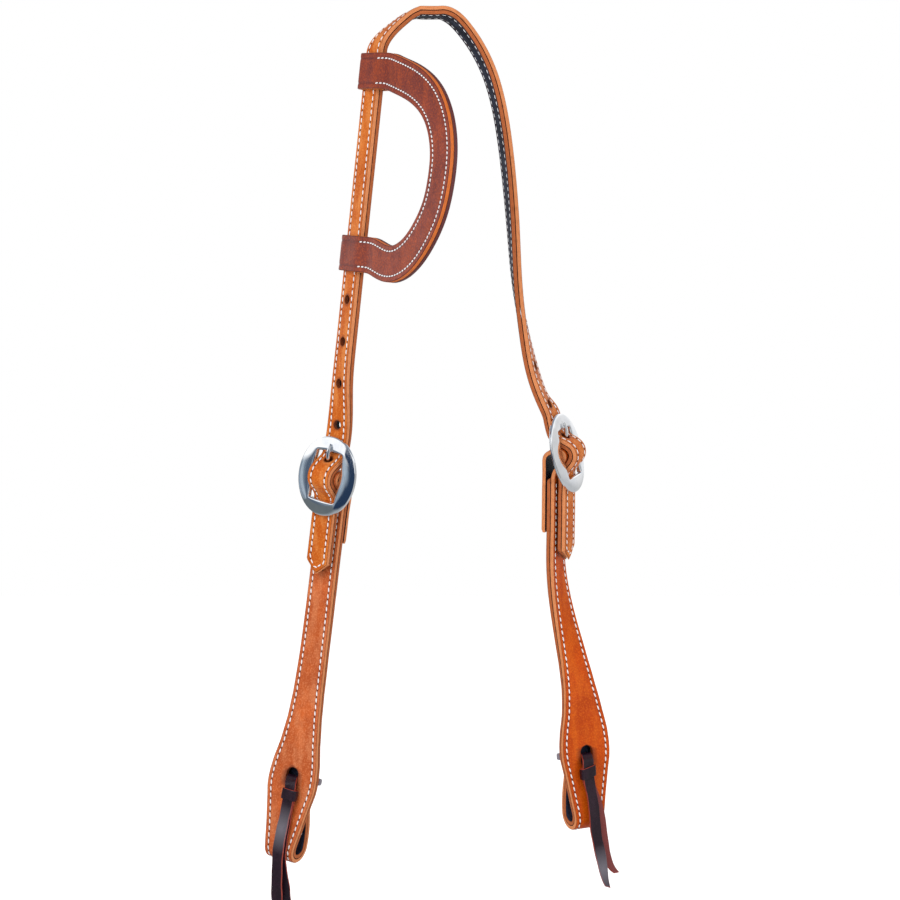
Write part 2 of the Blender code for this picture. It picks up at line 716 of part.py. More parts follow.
# Ear piece
SLEEVE_SHARES = ((0.60, 0.93), (0.38, 1.0), (-0.25, 1.0))
CORNER_DEGREES = (0.0, 45.0, 90.0)
# The ear's arc: shares of its reach and of its drop, and the band's lean in degrees
EAR_ARM_SHARES = (
    (0.28, -0.011, 86.0), (0.42, -0.038, 81.0), (0.62, -0.088, 70.0), (0.80, -0.170, 53.0),
    (0.935, -0.298, 30.0), (0.995, -0.432, 10.0), (1.00, -0.575, -4.0), (0.965, -0.715, -17.0),
    (0.87, -0.850, -34.0), (0.70, -0.980, -58.0), (0.50, -1.035, -82.0), (0.36, -1.023, -91.0),
    (0.27, -1.006, -91.0))


def ear_axes():
    """The straight run's axes at the upper sleeve's middle."""
    leg = leg_knots(-LEFT_REACH, LEFT_DEPTH, LEFT_DROP, LEFT_LEG_SHARES)
    low, high = leg[1], leg[2]
    middle = low + (high - low) * (-EAR_TOP - low[2]) / (high[2] - low[2])
    heading = unit(high[:3] - low[:3])
    across = squared(middle[3:], heading)
    return middle[:3], heading, across, np.cross(across, heading)


def ear_route(axes, wrapped):
    """The ear band, curved from the upper sleeve to the lower one; the lining has no sleeves."""
    point, heading, across, face = axes
    level = STRAP_THICKNESS / 2 + RUNNING_GAP + PLY / 2
    edge = STRAP_WIDTH / 2 + RUNNING_GAP + PLY / 2
    ply = PLY_STEP / 2 if wrapped else -PLY_STEP / 2

    def place(out, up, proud, lean):
        lean = math.radians(lean)
        return knot(point + across * out + heading * up + face * proud,
                    across * math.cos(lean) + heading * math.sin(lean))

    def sleeve(up, lean):
        back = [(EAR_SEAM, -PLY_STEP / 2)]
        back += [(STRAP_WIDTH * out, -level * proud) for out, proud in SLEEVE_SHARES]
        for degrees in CORNER_DEGREES:
            angle = math.radians(degrees)
            back.append((-edge + EAR_CORNER - EAR_CORNER * math.sin(angle),
                         -level + EAR_CORNER - EAR_CORNER * math.cos(angle)))
        front = [(out, -proud) for out, proud in reversed(back[1:])]
        return [place(out, up, proud, lean) for out, proud in (*back, *front)]

    arms = [place(x * EAR_REACH, y * EAR_DROP, ply, lean) for x, y, lean in EAR_ARM_SHARES]
    if wrapped:
        seams = [place(EAR_SEAM, 0.0, ply, 90.0), place(EAR_SEAM, -EAR_DROP, ply, -90.0)]
        lower = list(reversed(sleeve(-EAR_DROP, -90.0)))
        route = smooth_route([*sleeve(0.0, 90.0), seams[0], *arms, seams[1], *lower])
        return route, 0.0, route.length
    outs = (STRAP_WIDTH, EAR_SEAM + EAR_JOINT_GAP)
    upper = [place(out, 0.0, ply, 90.0) for out in outs]
    lower = [place(out, -EAR_DROP, ply, -90.0) for out in reversed(outs)]
    route = smooth_route([*upper, *arms, *lower])
    return route, route.stops[1], route.stops[-2]


def build_ear(axes, group, chestnut, backing):
    for name, wrapped, rounding, material in (
            ("ear_piece_front", True, EDGE_ROUND, chestnut),
            ("ear_piece_lining", False, 0.0, backing)):
        route, start, end = ear_route(axes, wrapped)
        rows = rows_between(route, start, end)
        strap_ply(name, route, rows, 0.0, lambda _: EAR_BAND / 2, PLY, rounding, square_end,
                  group, material)


# Ties
WRAP_INNER_DEPTH = 2 * THONG_THICKNESS + 3 * SEAM_GAP
WRAP_STAND = PLY / 2 + SEAM_GAP
BACK_STRAND = WRAP_STAND + THONG_THICKNESS + SEAM_GAP + THONG_THICKNESS / 2
FRONT_STRAND = BACK_STRAND + THONG_THICKNESS + SEAM_GAP
# The thong through the slot: shares of the drop to the wrap, of the strand's stand, of the shift
THONG_SHARES = ((0.14, 0.0, 0.0), (-0.08, 0.5, 0.28), (-0.34, 0.93, 0.82), (-0.56, 1.0, 1.0),
                (-0.8, 1.0, 1.0), (-1.0, 1.0, 1.0))
# The tails' routes below each wrap: places in metres, then the width direction at the tip
TAILS = {
    "left_tie_tail_front": (
        ((-0.0866, 0.0234, -0.4714), (-0.0873, 0.0234, -0.4752), (-0.0893, 0.0234, -0.4850),
         (-0.0913, 0.02345, -0.4941), (-0.0933, 0.0233, -0.5064), (-0.0939, 0.0233, -0.5190),
         (-0.0941, 0.0234, -0.5297), (-0.0936, 0.0236, -0.5407), (-0.0928, 0.0239, -0.5550)),
        (0.92, -0.39, 0.0)),
    "left_tie_tail_back": (
        ((-0.0852, 0.0250, -0.4686), (-0.0861, 0.0250, -0.4733), (-0.0870, 0.0250, -0.4778),
         (-0.0884, 0.0254, -0.4854), (-0.0901, 0.0255, -0.4946), (-0.0918, 0.0259, -0.5056),
         (-0.0916, 0.0268, -0.5167), (-0.0903, 0.0276, -0.5265), (-0.0886, 0.0282, -0.5363),
         (-0.0867, 0.0286, -0.5412), (-0.0836, 0.0291, -0.5490)), (0.85, 0.50, 0.0)),
    "right_tie_tail_front": (
        ((0.0973, 0.0298, -0.4589), (0.0975, 0.02985, -0.4628), (0.0985, 0.0303, -0.4685),
         (0.1006, 0.0310, -0.4810), (0.1020, 0.0311, -0.4960), (0.1043, 0.0310, -0.5076),
         (0.1057, 0.0308, -0.5148), (0.1078, 0.0304, -0.5254), (0.1094, 0.0300, -0.5303)),
        (0.93, 0.30, 0.2)),
    "right_tie_tail_back": (
        ((0.0963, 0.0314, -0.4559), (0.0965, 0.0315, -0.4600), (0.0970, 0.0317, -0.4634),
         (0.0990, 0.0325, -0.4690), (0.1013, 0.0334, -0.4755), (0.1033, 0.0341, -0.4815),
         (0.1046, 0.0345, -0.4880), (0.1058, 0.0349, -0.4953), (0.1070, 0.0353, -0.5039),
         (0.1089, 0.0357, -0.5113), (0.1120, 0.0362, -0.5183), (0.1158, 0.0366, -0.5225)),
        (0.70, 0.55, 0.45)),
}


def block(sizes, edges_along, rounding, matrix, name):
    """A box with its edges rounded, all of them or only those along one direction."""
    shape = bmesh.new()
    bmesh.ops.create_cube(shape, size=1.0)
    bmesh.ops.scale(shape, vec=sizes, verts=shape.verts)
    edges = [edge for edge in shape.edges if edges_along is None
             or edge.verts[0].co[edges_along] != edge.verts[1].co[edges_along]]
    bmesh.ops.bevel(shape, geom=edges, offset=rounding, segments=2, profile=0.5, affect="EDGES")
    bmesh.ops.transform(shape, matrix=matrix, verts=shape.verts)
    return mesh_from(shape, name)


def thong_ply(name, route, tapered, group, latigo):
    rows = rows_between(route, 0.0, route.length)
    last = len(rows) - 1
    rows[last] -= TIP_SLANT / 2 if tapered else 0.0

    def tip(row, share):
        return TIP_SLANT / 2 * share if tapered and row == last else 0.0

    def half_width(distance):
        taper = max(0.0, 1.0 - (route.length - distance) / TIP_TAPER) if tapered else 0.0
        return (THONG_WIDTH + (TIP_WIDTH - THONG_WIDTH) * taper) / 2

    return strap_ply(name, route, rows, 0.0, half_width, THONG_THICKNESS, 0.0, tip, group, latigo)


def build_tie(side, group, cutters, latigo):
    """A thong with its toggle behind the flap, the wrap in front, and two free tails."""
    foot = side.foot
    rear = -(FLAP_BACK + PLY / 2 + SEAM_GAP + TOGGLE_THICKNESS / 2)
    spots = [foot_point(side, side.slot_rise, rear), foot_point(side, side.slot_rise, rear / 2)]
    for up, out, shift in THONG_SHARES:
        spots.append(foot_point(side, side.slot_rise + WRAP_DROP * up, FRONT_STRAND * out,
                                side.tie_shift * shift))
    route = smooth_route([knot(spot, foot.across) for spot in spots])
    thong = thong_ply(side.name + "_tie_thong", route, False, group, latigo)
    toggle = block((TOGGLE_WIDTH, TOGGLE_HEIGHT, TOGGLE_THICKNESS), None, TOGGLE_THICKNESS / 4,
                   frame_matrix(foot_point(side, side.slot_rise, rear), foot.across, foot.along,
                                foot.face), side.name + "_toggle")
    join(thong, cutter_object(side.name + "_toggle", toggle, cutters))

    bore_width = THONG_WIDTH + 2 * SEAM_GAP
    matrix = frame_matrix(foot_point(side, side.slot_rise - WRAP_DROP,
                                     WRAP_STAND + THONG_THICKNESS + WRAP_INNER_DEPTH / 2,
                                     side.tie_shift), foot.across, foot.along, foot.face)
    wrap = add_object(side.name + "_tie_wrap",
                      block((bore_width + 2 * WRAP_WALL, WRAP_HEIGHT,
                             WRAP_INNER_DEPTH + 2 * WRAP_WALL), 1, WRAP_WALL, matrix,
                            side.name + "_tie_wrap"), group, latigo)
    bore = block((bore_width, 2 * WRAP_HEIGHT, WRAP_INNER_DEPTH), 1, SEAM_GAP / 2, matrix,
                 side.name + "_wrap_bore")
    cut(wrap, cutter_object(side.name + "_wrap_bore", bore, cutters))

    for label in ("_tie_tail_front", "_tie_tail_back"):
        spots, tip_across = TAILS[side.name + label]
        last = len(spots) - 1
        knots = [knot(spot, foot.across + (np.array(tip_across) - foot.across) * (i / last) ** 3)
                 for i, spot in enumerate(spots)]
        thong_ply(side.name + label, smooth_route(knots), True, group, latigo)


def main():
    clear_scene()
    group = new_collection("western_headstall")
    cutters = new_collection("cutters")
    golden = finish("golden strap leather", (0.66, 0.21, 0.05), 0.45, 0.0)
    lining = finish("black dyed lining", (0.02, 0.025, 0.04), 0.7, 0.0)
    chestnut = finish("chestnut leather", (0.33, 0.09, 0.05), 0.4, 0.0)
    steel = finish("polished steel", (0.72, 0.74, 0.77), 0.15, 1.0)
    latigo = finish("burgundy latigo", (0.06, 0.018, 0.025), 0.4, 0.0)
    build_crown(group, cutters, golden, lining)
    build_ear(ear_axes(), group, chestnut, chestnut)
    for side in (LEFT, RIGHT):
        build_buckle(side, group, cutters, steel)
        build_tongue(side, group, cutters, steel)
        build_cheek(side, group, cutters, golden, lining)
        build_tie(side, group, cutters, latigo)


main()
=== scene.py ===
# The looks of the western headstall: leather, stitching, steel and ties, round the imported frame.
# Metres, +Z up, origin under the crown's top, as in the frame.

import math
from collections import namedtuple

import bmesh
import bpy
import numpy as np
from bpy.props import FloatProperty, FloatVectorProperty, IntProperty, PointerProperty
from mathutils import Matrix, Vector


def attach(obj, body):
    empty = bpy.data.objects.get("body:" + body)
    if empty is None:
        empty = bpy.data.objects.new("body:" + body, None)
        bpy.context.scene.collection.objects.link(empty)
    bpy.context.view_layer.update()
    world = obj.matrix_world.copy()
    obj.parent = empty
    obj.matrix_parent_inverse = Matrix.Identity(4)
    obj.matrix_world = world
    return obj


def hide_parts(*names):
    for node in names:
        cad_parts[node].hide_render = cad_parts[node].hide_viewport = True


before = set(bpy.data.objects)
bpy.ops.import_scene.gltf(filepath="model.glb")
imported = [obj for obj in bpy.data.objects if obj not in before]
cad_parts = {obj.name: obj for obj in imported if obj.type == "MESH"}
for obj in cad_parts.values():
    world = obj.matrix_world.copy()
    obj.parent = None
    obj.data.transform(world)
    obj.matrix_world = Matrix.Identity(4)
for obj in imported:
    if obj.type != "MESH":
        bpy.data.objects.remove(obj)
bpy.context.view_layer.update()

bl_info = {
    "name": "Western headstall",
    "version": (1, 0, 0),
    "blender": (4, 5, 0),
    "location": "View3D > Sidebar > Headstall",
    "description": "Leather, stitching, buckles and ties of a one-ear headstall",
    "category": "Add Mesh",
}

# Leather, as in the frame
PLY = 0.0025
SEAM_GAP = 0.0003
STRAP_THICKNESS = 2 * PLY + SEAM_GAP
PLY_STEP = PLY + SEAM_GAP
STRAP_WIDTH = 0.016
RUNNING_GAP = 0.0005

# Where the buckles and the bit loops hang, as in the frame
LEFT_REACH, LEFT_DEPTH, LEFT_DROP = 0.0630, 0.0140, 0.2762
RIGHT_REACH, RIGHT_DEPTH, RIGHT_DROP = 0.0840, 0.0220, 0.2620
POLL_FLAT = 0.0100
LEFT_FOOT_SPREAD, LEFT_FOOT_SETBACK, LEFT_CHEEK_DROP = 0.0300, 0.0160, 0.2278
RIGHT_FOOT_SPREAD, RIGHT_FOOT_SETBACK, RIGHT_CHEEK_DROP = 0.0142, 0.0140, 0.2240

# Billet ends and holes
LEFT_BILLET, RIGHT_BILLET = 0.0468, 0.0525
POINT_LENGTH = 0.0075
POINT_BLEND = 0.0200
POINT_ROUND = 0.0008
HOLE_DIAMETER = 0.0054
HOLE_SPACING = 0.0254
HOLE_COUNT = 5

# Buckles
FRAME_WIDTH, FRAME_HEIGHT, FRAME_THICKNESS = 0.0430, 0.0490, 0.0032
WINDOW_WIDTH, WINDOW_HEIGHT = 0.0196, 0.0296
BAR_RADIUS, BAR_SETBACK, BAR_SEAT = 0.0020, 0.0020, 0.0042
TONGUE_RADIUS, TONGUE_REST, NOTCH_DEPTH = 0.0013, 0.0040, 0.0006
ARCH_REACH, ARCH_HEIGHT, ARCH_SLOPE = 0.0150, 0.0064, math.radians(52.0)

# Cheek pieces
CHEEK_WIDTH, FLARE_WIDTH, FLAP_WIDTH = 0.0188, 0.0330, 0.0210
BILLET_SLACK, ARCH_SLACK, TAIL_SLACK = 0.0016, 0.0004, 0.0008
LEFT_TAIL, RIGHT_TAIL, TAIL_RISE = 0.0270, 0.0340, 0.0092
FOLD_SLOT_WIDTH, FOLD_SLOT_LENGTH = 0.0044, 0.0136
LOOP_RADIUS = 0.0036
FLARE_RISE, FLAP_RISE = 0.0400, 0.0560
LEFT_SLOT_RISE, RIGHT_SLOT_RISE = 0.0425, 0.0365
SLOT_LENGTH, SLOT_WIDTH = 0.0140, 0.0084
FLAP_SLIT_LENGTH, FLAP_SLIT_WIDTH = 0.0092, 0.0036

# Ear piece
EAR_BAND, EAR_REACH, EAR_DROP, EAR_TOP = 0.0215, 0.0850, 0.1089, 0.0344
EAR_SEAM, EAR_JOINT_GAP, EAR_CORNER = 0.0175, 0.0008, 0.0020
EAR_THREAD_START = 0.0108
EAR_GROOVE_INSET = 0.0034

# Ties
THONG_WIDTH, THONG_THICKNESS = 0.0072, 0.0015
TOGGLE_WIDTH, TOGGLE_HEIGHT, TOGGLE_THICKNESS = 0.0275, 0.0042, 0.0034
WRAP_HEIGHT, WRAP_WALL, WRAP_DROP = 0.0066, 0.0009, 0.0090
LEFT_TIE_SHIFT, RIGHT_TIE_SHIFT = 0.0030, -0.0020
TIP_SLANT, TIP_WIDTH, TIP_TAPER = 0.0022, 0.0030, 0.0200

# How finely the leather is drawn
ROW_SPACING = 0.0017
ROW_TURN = math.radians(6.0)
FINE_STEPS = 3000
HOLE_STEPS = 40
BUCKLE_STEPS = 200
BAR_STEPS = 32
WRAP_STEPS = 64
SHARP_DEGREES, CASTING_SHARP_DEGREES = 42.0, 50.0
CUT_OVERRUN = 0.0040
RAIL_SPACING = 0.0012
THONG_SPACING = 0.0012

# The camera, from the photograph's frame of 900 by 900
VIEW_DISTANCE = 1.3
VIEW_CENTRE = (0.012, 0.0, -0.2603)
VIEW_WIDTH = 0.5412
FLOOR_DROP = 0.62

Side = namedtuple(
    "Side", "name centre along across outward hang billet tail foot slot_rise tie_shift")
Foot = namedtuple("Foot", "spot along across face")
Route = namedtuple("Route", "point length stops")
Ply = namedtuple("Ply", "route rows half_width offset side thickness")
Column = namedtuple("Column", "edge inset share height rim groove", defaults=(0.0, 0.0))
Finish = namedtuple("Finish", "face deep pale edge edge_deep worn flesh clouds mottle smear "
                    "speckle burnish roughness grain shine")

# The materials and the stitching tree, by the finish's name
LOOKS = {}


def ink(red, green, blue):
    """A colour as the eye names it, 0 to 255, in the renderer's linear values."""
    shares = [value / 255.0 for value in (red, green, blue)]
    return tuple(s / 12.92 if s <= 0.04045 else ((s + 0.055) / 1.055) ** 2.4 for s in shares)


# Routes: a smooth curve through knots, each a place and a width direction
def unit(vector):
    """The vector at a length of one."""
    return vector / np.linalg.norm(vector, axis=-1, keepdims=True)


def level_across(turn):
    """A level width direction, turned from the viewer's right."""
    return np.array([math.cos(turn), -math.sin(turn), 0.0])


def squared(across, heading):
    """The width direction, made square to the heading."""
    return unit(across - heading * np.sum(across * heading, axis=-1, keepdims=True))


def smooth_route(knots):
    """A natural cubic curve through the knots, by distance from the first."""
    knots = np.array(knots, dtype=float)
    steps = np.linalg.norm(np.diff(knots[:, :3], axis=0), axis=1)
    stops = np.concatenate(([0.0], np.cumsum(steps)))
    count = len(knots)
    system = np.eye(count)
    loads = np.zeros_like(knots)
    for i in range(1, count - 1):
        system[i, i - 1:i + 2] = (steps[i - 1], 2 * (steps[i - 1] + steps[i]), steps[i])
        rise = (knots[i + 1] - knots[i]) / steps[i]
        fall = (knots[i] - knots[i - 1]) / steps[i - 1]
        loads[i] = 6 * (rise - fall)
    bends = np.linalg.solve(system, loads)

    def point(distance):
        distance = np.asarray(distance, dtype=float)
        i = np.clip(np.searchsorted(stops, distance) - 1, 0, count - 2)
        span = steps[i][..., None]
        ahead = (stops[i + 1] - distance)[..., None]
        behind = (distance - stops[i])[..., None]
        return (bends[i] * ahead ** 3 / (6 * span) + bends[i + 1] * behind ** 3 / (6 * span)
                + (knots[i] / span - bends[i] * span / 6) * ahead
                + (knots[i + 1] / span - bends[i + 1] * span / 6) * behind)

    return Route(point, stops[-1], stops)


def strap_frame(route, distance):
    """Point, heading, width direction and face normal at distances along the route."""
    distance = np.asarray(distance, dtype=float)
    here = route.point(distance)
    heading = unit(route.point(distance + SEAM_GAP)[..., :3]
                   - route.point(distance - SEAM_GAP)[..., :3])
    across = squared(here[..., 3:6], heading)
    return here[..., :3], heading, across, np.cross(across, heading)


def rows_between(route, start, end, spacing=ROW_SPACING):
    """Distances from start to end, closer together where the route bends."""
    fine = np.linspace(start, end, FINE_STEPS)
    spots, headings, _, _ = strap_frame(route, fine)
    lengths = np.linalg.norm(np.diff(spots, axis=0), axis=1)
    turning = np.linalg.norm(np.diff(headings, axis=0), axis=1)
    effort = np.concatenate(([0.0], np.cumsum(lengths / spacing + turning / ROW_TURN)))
    count = max(2, math.ceil(effort[-1]))
    return np.interp(np.linspace(0.0, effort[-1], count + 1), effort, fine)


def knot(spot, across):
    """A place and a width direction in one row, as smooth_route takes them."""
    return [*spot, *across]


# Sides: each buckle's own axes, and the cheek's foot below it
def make_side(name, centre, lean_shares, turn, hang, billet, tail, foot_reach, foot_lean_shares,
              foot_turn, slot_rise, tie_shift):
    """One side's values; the leans say which way the buckle and the cheek's foot run up."""
    centre = np.array(centre)
    along = unit(np.array(lean_shares))
    across = squared(level_across(turn), along)
    foot_along = unit(np.array(foot_lean_shares))
    foot_across = squared(level_across(foot_turn), foot_along)
    foot = Foot(centre + foot_reach, foot_along, foot_across,
                np.cross(foot_across, foot_along))
    return Side(name, centre, along, across, np.cross(across, along), hang, billet, tail, foot,
                slot_rise, tie_shift)


def buckle_point(side, along, outward, across=0.0):
    """A place by the buckle's own axes, from its middle."""
    return side.centre + side.along * along + side.outward * outward + side.across * across


STRAP_BACK = -(FRAME_THICKNESS / 2 + SEAM_GAP + STRAP_THICKNESS / 2)
CHEEK_BACK = STRAP_THICKNESS / 2 + BILLET_SLACK + PLY / 2
TAIL_BACK = CHEEK_BACK + PLY_STEP + PLY + TAIL_SLACK
ARCH_RISE = ARCH_HEIGHT - STRAP_BACK
ARCH_RADIUS = ((ARCH_REACH * math.sin(ARCH_SLOPE) - ARCH_RISE * math.cos(ARCH_SLOPE))
               / (2 * (1 - math.cos(ARCH_SLOPE))))
HOLLOW_SHARES = (0.0, 0.5, 1.0)
CREST_SHARES = (-1.0, -0.5, 0.0, 0.5, 1.0)
HANG_SHARES = (1.0, 0.66, 0.33, 0.14)
# Crown strap: shares of each leg's reach, depth and drop, and the strap's turn in degrees
LEFT_LEG_SHARES = (
    (0.845, 0.72, 0.800, 52.0), (0.795, 0.36, 0.690, 56.0), (0.502, -0.639, 0.0797, 56.0),
    (0.410, -0.57, 0.043, 60.0), (0.284, -0.36, 0.015, 65.0))
STRAIGHT_SHARES = (0.02, 0.04, 0.07, 0.12, 0.22, 0.5, 0.78, 0.88, 0.93, 0.96, 0.98)
RIGHT_LEG_SHARES = (
    (0.250, 0.18, 0.0267, 73.0), (0.431, 0.36, 0.1275, 76.0), (0.525, 0.41, 0.253, 77.0),
    (0.569, 0.45, 0.368, 78.0), (0.599, 0.50, 0.482, 81.0), (0.630, 0.55, 0.616, 88.0),
    (0.681, 0.64, 0.725, 97.0), (0.748, 0.73, 0.818, 106.0), (0.836, 0.82, 0.888, 112.0))
POLL_SHARES = ((-0.62, 69.0), (-0.5, 69.0), (0.5, 71.0), (0.62, 71.0))


def hollow_spot(radius, share):
    """A place in the hollow bend at the arch's foot: along the buckle, and outwards."""
    angle = ARCH_SLOPE * share
    return (-ARCH_REACH + radius * math.sin(angle),
            STRAP_BACK + ARCH_RADIUS - radius * math.cos(angle))


def arch_spots():
    """The billet's arch over the centre bar, from its lower foot to its upper one."""
    lower = [hollow_spot(ARCH_RADIUS, share) for share in HOLLOW_SHARES]
    crest = [(ARCH_RADIUS * math.sin(ARCH_SLOPE * share),
              ARCH_HEIGHT - ARCH_RADIUS * (1 - math.cos(ARCH_SLOPE * share)))
             for share in CREST_SHARES]
    return lower + crest + [(-along, out) for along, out in reversed(lower)]


def hang_point(side, down, outward):
    """A place below the buckle, down the line in which the billet hangs."""
    falling = -side.along * math.cos(side.hang) - side.outward * math.sin(side.hang)
    facing = side.outward * math.cos(side.hang) - side.along * math.sin(side.hang)
    return buckle_point(side, -ARCH_REACH, STRAP_BACK) + falling * down + facing * outward


def foot_point(side, up, outward, across=0.0):
    """A place by the cheek's foot, from the bit loop's lowest face."""
    foot = side.foot
    return foot.spot + foot.along * up + foot.face * outward + foot.across * across


LEFT = make_side(
    "left", (-LEFT_REACH, LEFT_DEPTH, -LEFT_DROP), (0.20, -0.12, 1.0), math.radians(33.0),
    math.radians(7.0), LEFT_BILLET, LEFT_TAIL,
    (-LEFT_FOOT_SPREAD, LEFT_FOOT_SETBACK, -LEFT_CHEEK_DROP), (0.195, 0.0, 1.0),
    math.radians(26.0), LEFT_SLOT_RISE, LEFT_TIE_SHIFT)
RIGHT = make_side(
    "right", (RIGHT_REACH, RIGHT_DEPTH, -RIGHT_DROP), (-0.26, -0.13, 1.0), math.radians(298.0),
    math.radians(16.0), RIGHT_BILLET, RIGHT_TAIL,
    (RIGHT_FOOT_SPREAD, RIGHT_FOOT_SETBACK, -RIGHT_CHEEK_DROP), (-0.06, 0.0, 1.0),
    math.radians(335.0), RIGHT_SLOT_RISE, RIGHT_TIE_SHIFT)


def leg_knots(reach, depth, drop, shares):
    """One leg's knots, from shares of its reach, depth and drop."""
    return [np.array(knot((x * reach, y * depth, -z * drop), level_across(math.radians(turn))))
            for x, y, z, turn in shares]


def billet_knots(side, across):
    """From the billet's end, over the centre bar, to the top of the buckle."""
    spots = [hang_point(side, side.billet * share, 0.0) for share in HANG_SHARES]
    spots += [buckle_point(side, along, out) for along, out in arch_spots()]
    spots.append(buckle_point(side, FRAME_HEIGHT / 2, STRAP_BACK))
    return [knot(spot, across) for spot in spots]


def crown_knots():
    """From the left billet's end, over the poll, to the right billet's end."""
    knots = billet_knots(LEFT, LEFT.across)
    leg = leg_knots(-LEFT_REACH, LEFT_DEPTH, LEFT_DROP, LEFT_LEG_SHARES)
    knots += [*leg[:2], *[leg[1] + (leg[2] - leg[1]) * share for share in STRAIGHT_SHARES],
              *leg[2:]]
    for share, turn in POLL_SHARES:
        knots.append(knot((share * POLL_FLAT, 0.0, STRAP_THICKNESS / 2),
                          level_across(math.radians(turn))))
    knots += leg_knots(RIGHT_REACH, RIGHT_DEPTH, RIGHT_DROP, RIGHT_LEG_SHARES)
    return knots + list(reversed(billet_knots(RIGHT, -RIGHT.across)))


EYE_RADIUS = BAR_RADIUS + SEAM_GAP + TONGUE_RADIUS
NOTCH_RADIUS = TONGUE_RADIUS + SEAM_GAP
HOLE_TRIES, LINE_TRIES = 400, 64


def tongue_line(side):
    """The tongue's shank, from its eye to its rest in the frame's notch."""
    rest = FRAME_THICKNESS / 2 - NOTCH_DEPTH + SEAM_GAP + TONGUE_RADIUS
    return [buckle_point(side, EYE_RADIUS, -BAR_SETBACK),
            buckle_point(side, EYE_RADIUS + TONGUE_RADIUS, -BAR_SETBACK),
            buckle_point(side, WINDOW_HEIGHT / 2 - TONGUE_RADIUS, rest),
            buckle_point(side, WINDOW_HEIGHT / 2 + TONGUE_REST, rest)]


def tongue_hole(route, side, near):
    """Distance along the crown strap where the tongue's line crosses its centre."""
    line = tongue_line(side)
    tries = np.linspace(near - ARCH_REACH, near + ARCH_REACH, HOLE_TRIES)
    here = route.point(tries)[:, None, :3]
    shares = np.linspace(0.0, 1.0, LINE_TRIES)[None, :, None]
    gaps = np.linalg.norm(line[1] + (line[2] - line[1]) * shares - here, axis=2)
    return tries[np.unravel_index(np.argmin(gaps), gaps.shape)[0]]


# Leather sections: each column is (edge side, inset, share of the flat, height, rim, groove)
# A column with an edge side of 0 stands at its share of the flat between the edges' zones
EDGE_ZONE, ZONE_ROOM, NARROW_ZONE = 0.0042, 1.3, 0.3
EDGE_ROUND = 0.0007
EDGE_DEGREES = (80, 55, 28, 0)
BACK_ROUND = 0.0002
GROOVE_INSET = 0.0028
GROOVE_HALF = 0.0006
GROOVE_DEPTH = 0.00025
GROOVE_SHARES = ((-2.2, 0.0), (-1.0, 0.45), (0.0, 1.0), (1.0, 0.45), (2.2, 0.0))
MIDDLE_SHARES = (-0.66, -0.33, 0.0, 0.33, 0.66)
FLESH_DEPTH = 0.45


def closed_section(half, over, under, top):
    """Both edges' columns, with the face between them and the back that closes the outline."""
    face = [Column(0, 0.0, share, top) for share in over]
    back = [Column(0, 0.0, share, -top) for share in reversed(under)]
    far = [column._replace(edge=-1) for column in half]
    return far + face + list(reversed(half)) + back


def strap_columns(inset=GROOVE_INSET):
    """The ply's outline across its width: up the far edge, over the face and down again."""
    top = PLY / 2
    half = [Column(1, BACK_ROUND, 0.0, -top), Column(1, 0.0, 0.0, -top + BACK_ROUND, 1.0)]
    for degrees in EDGE_DEGREES:
        angle = math.radians(degrees)
        half.append(Column(1, EDGE_ROUND * (1 - math.sin(angle)), 0.0,
                           top - EDGE_ROUND * (1 - math.cos(angle)), degrees / EDGE_DEGREES[0]))
    half += [Column(1, inset + GROOVE_HALF * at, 0.0, top - GROOVE_DEPTH * deep, 0.0, deep)
             for at, deep in GROOVE_SHARES]
    return closed_section(half, MIDDLE_SHARES, MIDDLE_SHARES[::2], top)


def spots_on(ply, distance, across, height):
    """Places on the ply, at a height over its middle on the side that it faces."""
    point, _, width, normal = strap_frame(ply.route, distance)
    lift = np.asarray(ply.offset + ply.side * height)
    return point + normal * lift[..., None] + width * np.asarray(across)[..., None]


def add_values(mesh, label, values):
    """Gives every vertex a number that the materials read."""
    layer = mesh.attributes.new(label, "FLOAT", "POINT")
    layer.data.foreach_set("value", np.asarray(values, dtype=np.float32).reshape(-1))


def end_mesh(shape, name):
    """The bmesh as a named mesh; the bmesh is freed."""
    mesh = bpy.data.meshes.new(name)
    shape.to_mesh(mesh)
    shape.free()
    return mesh


def face_outwards(mesh, merge=0.0):
    """Turns a closed mesh's faces outwards, after it merges points that lie within merge."""
    shape = bmesh.new()
    shape.from_mesh(mesh)
    if merge > 0.0:
        bmesh.ops.remove_doubles(shape, verts=shape.verts, dist=merge)
    bmesh.ops.recalc_face_normals(shape, faces=shape.faces)
    shape.to_mesh(mesh)
    shape.free()
    return mesh


def ring_mesh(name, spots, turns):
    """A closed ring, from the outlines at each turn, one after the other."""
    count = len(spots) // turns
    faces = [(i * count + j, i * count + (j + 1) % count,
              ((i + 1) % turns) * count + (j + 1) % count, ((i + 1) % turns) * count + j)
             for i in range(turns) for j in range(count)]
    mesh = bpy.data.meshes.new(name)
    mesh.from_pydata(spots, [], faces)
    return face_outwards(mesh)


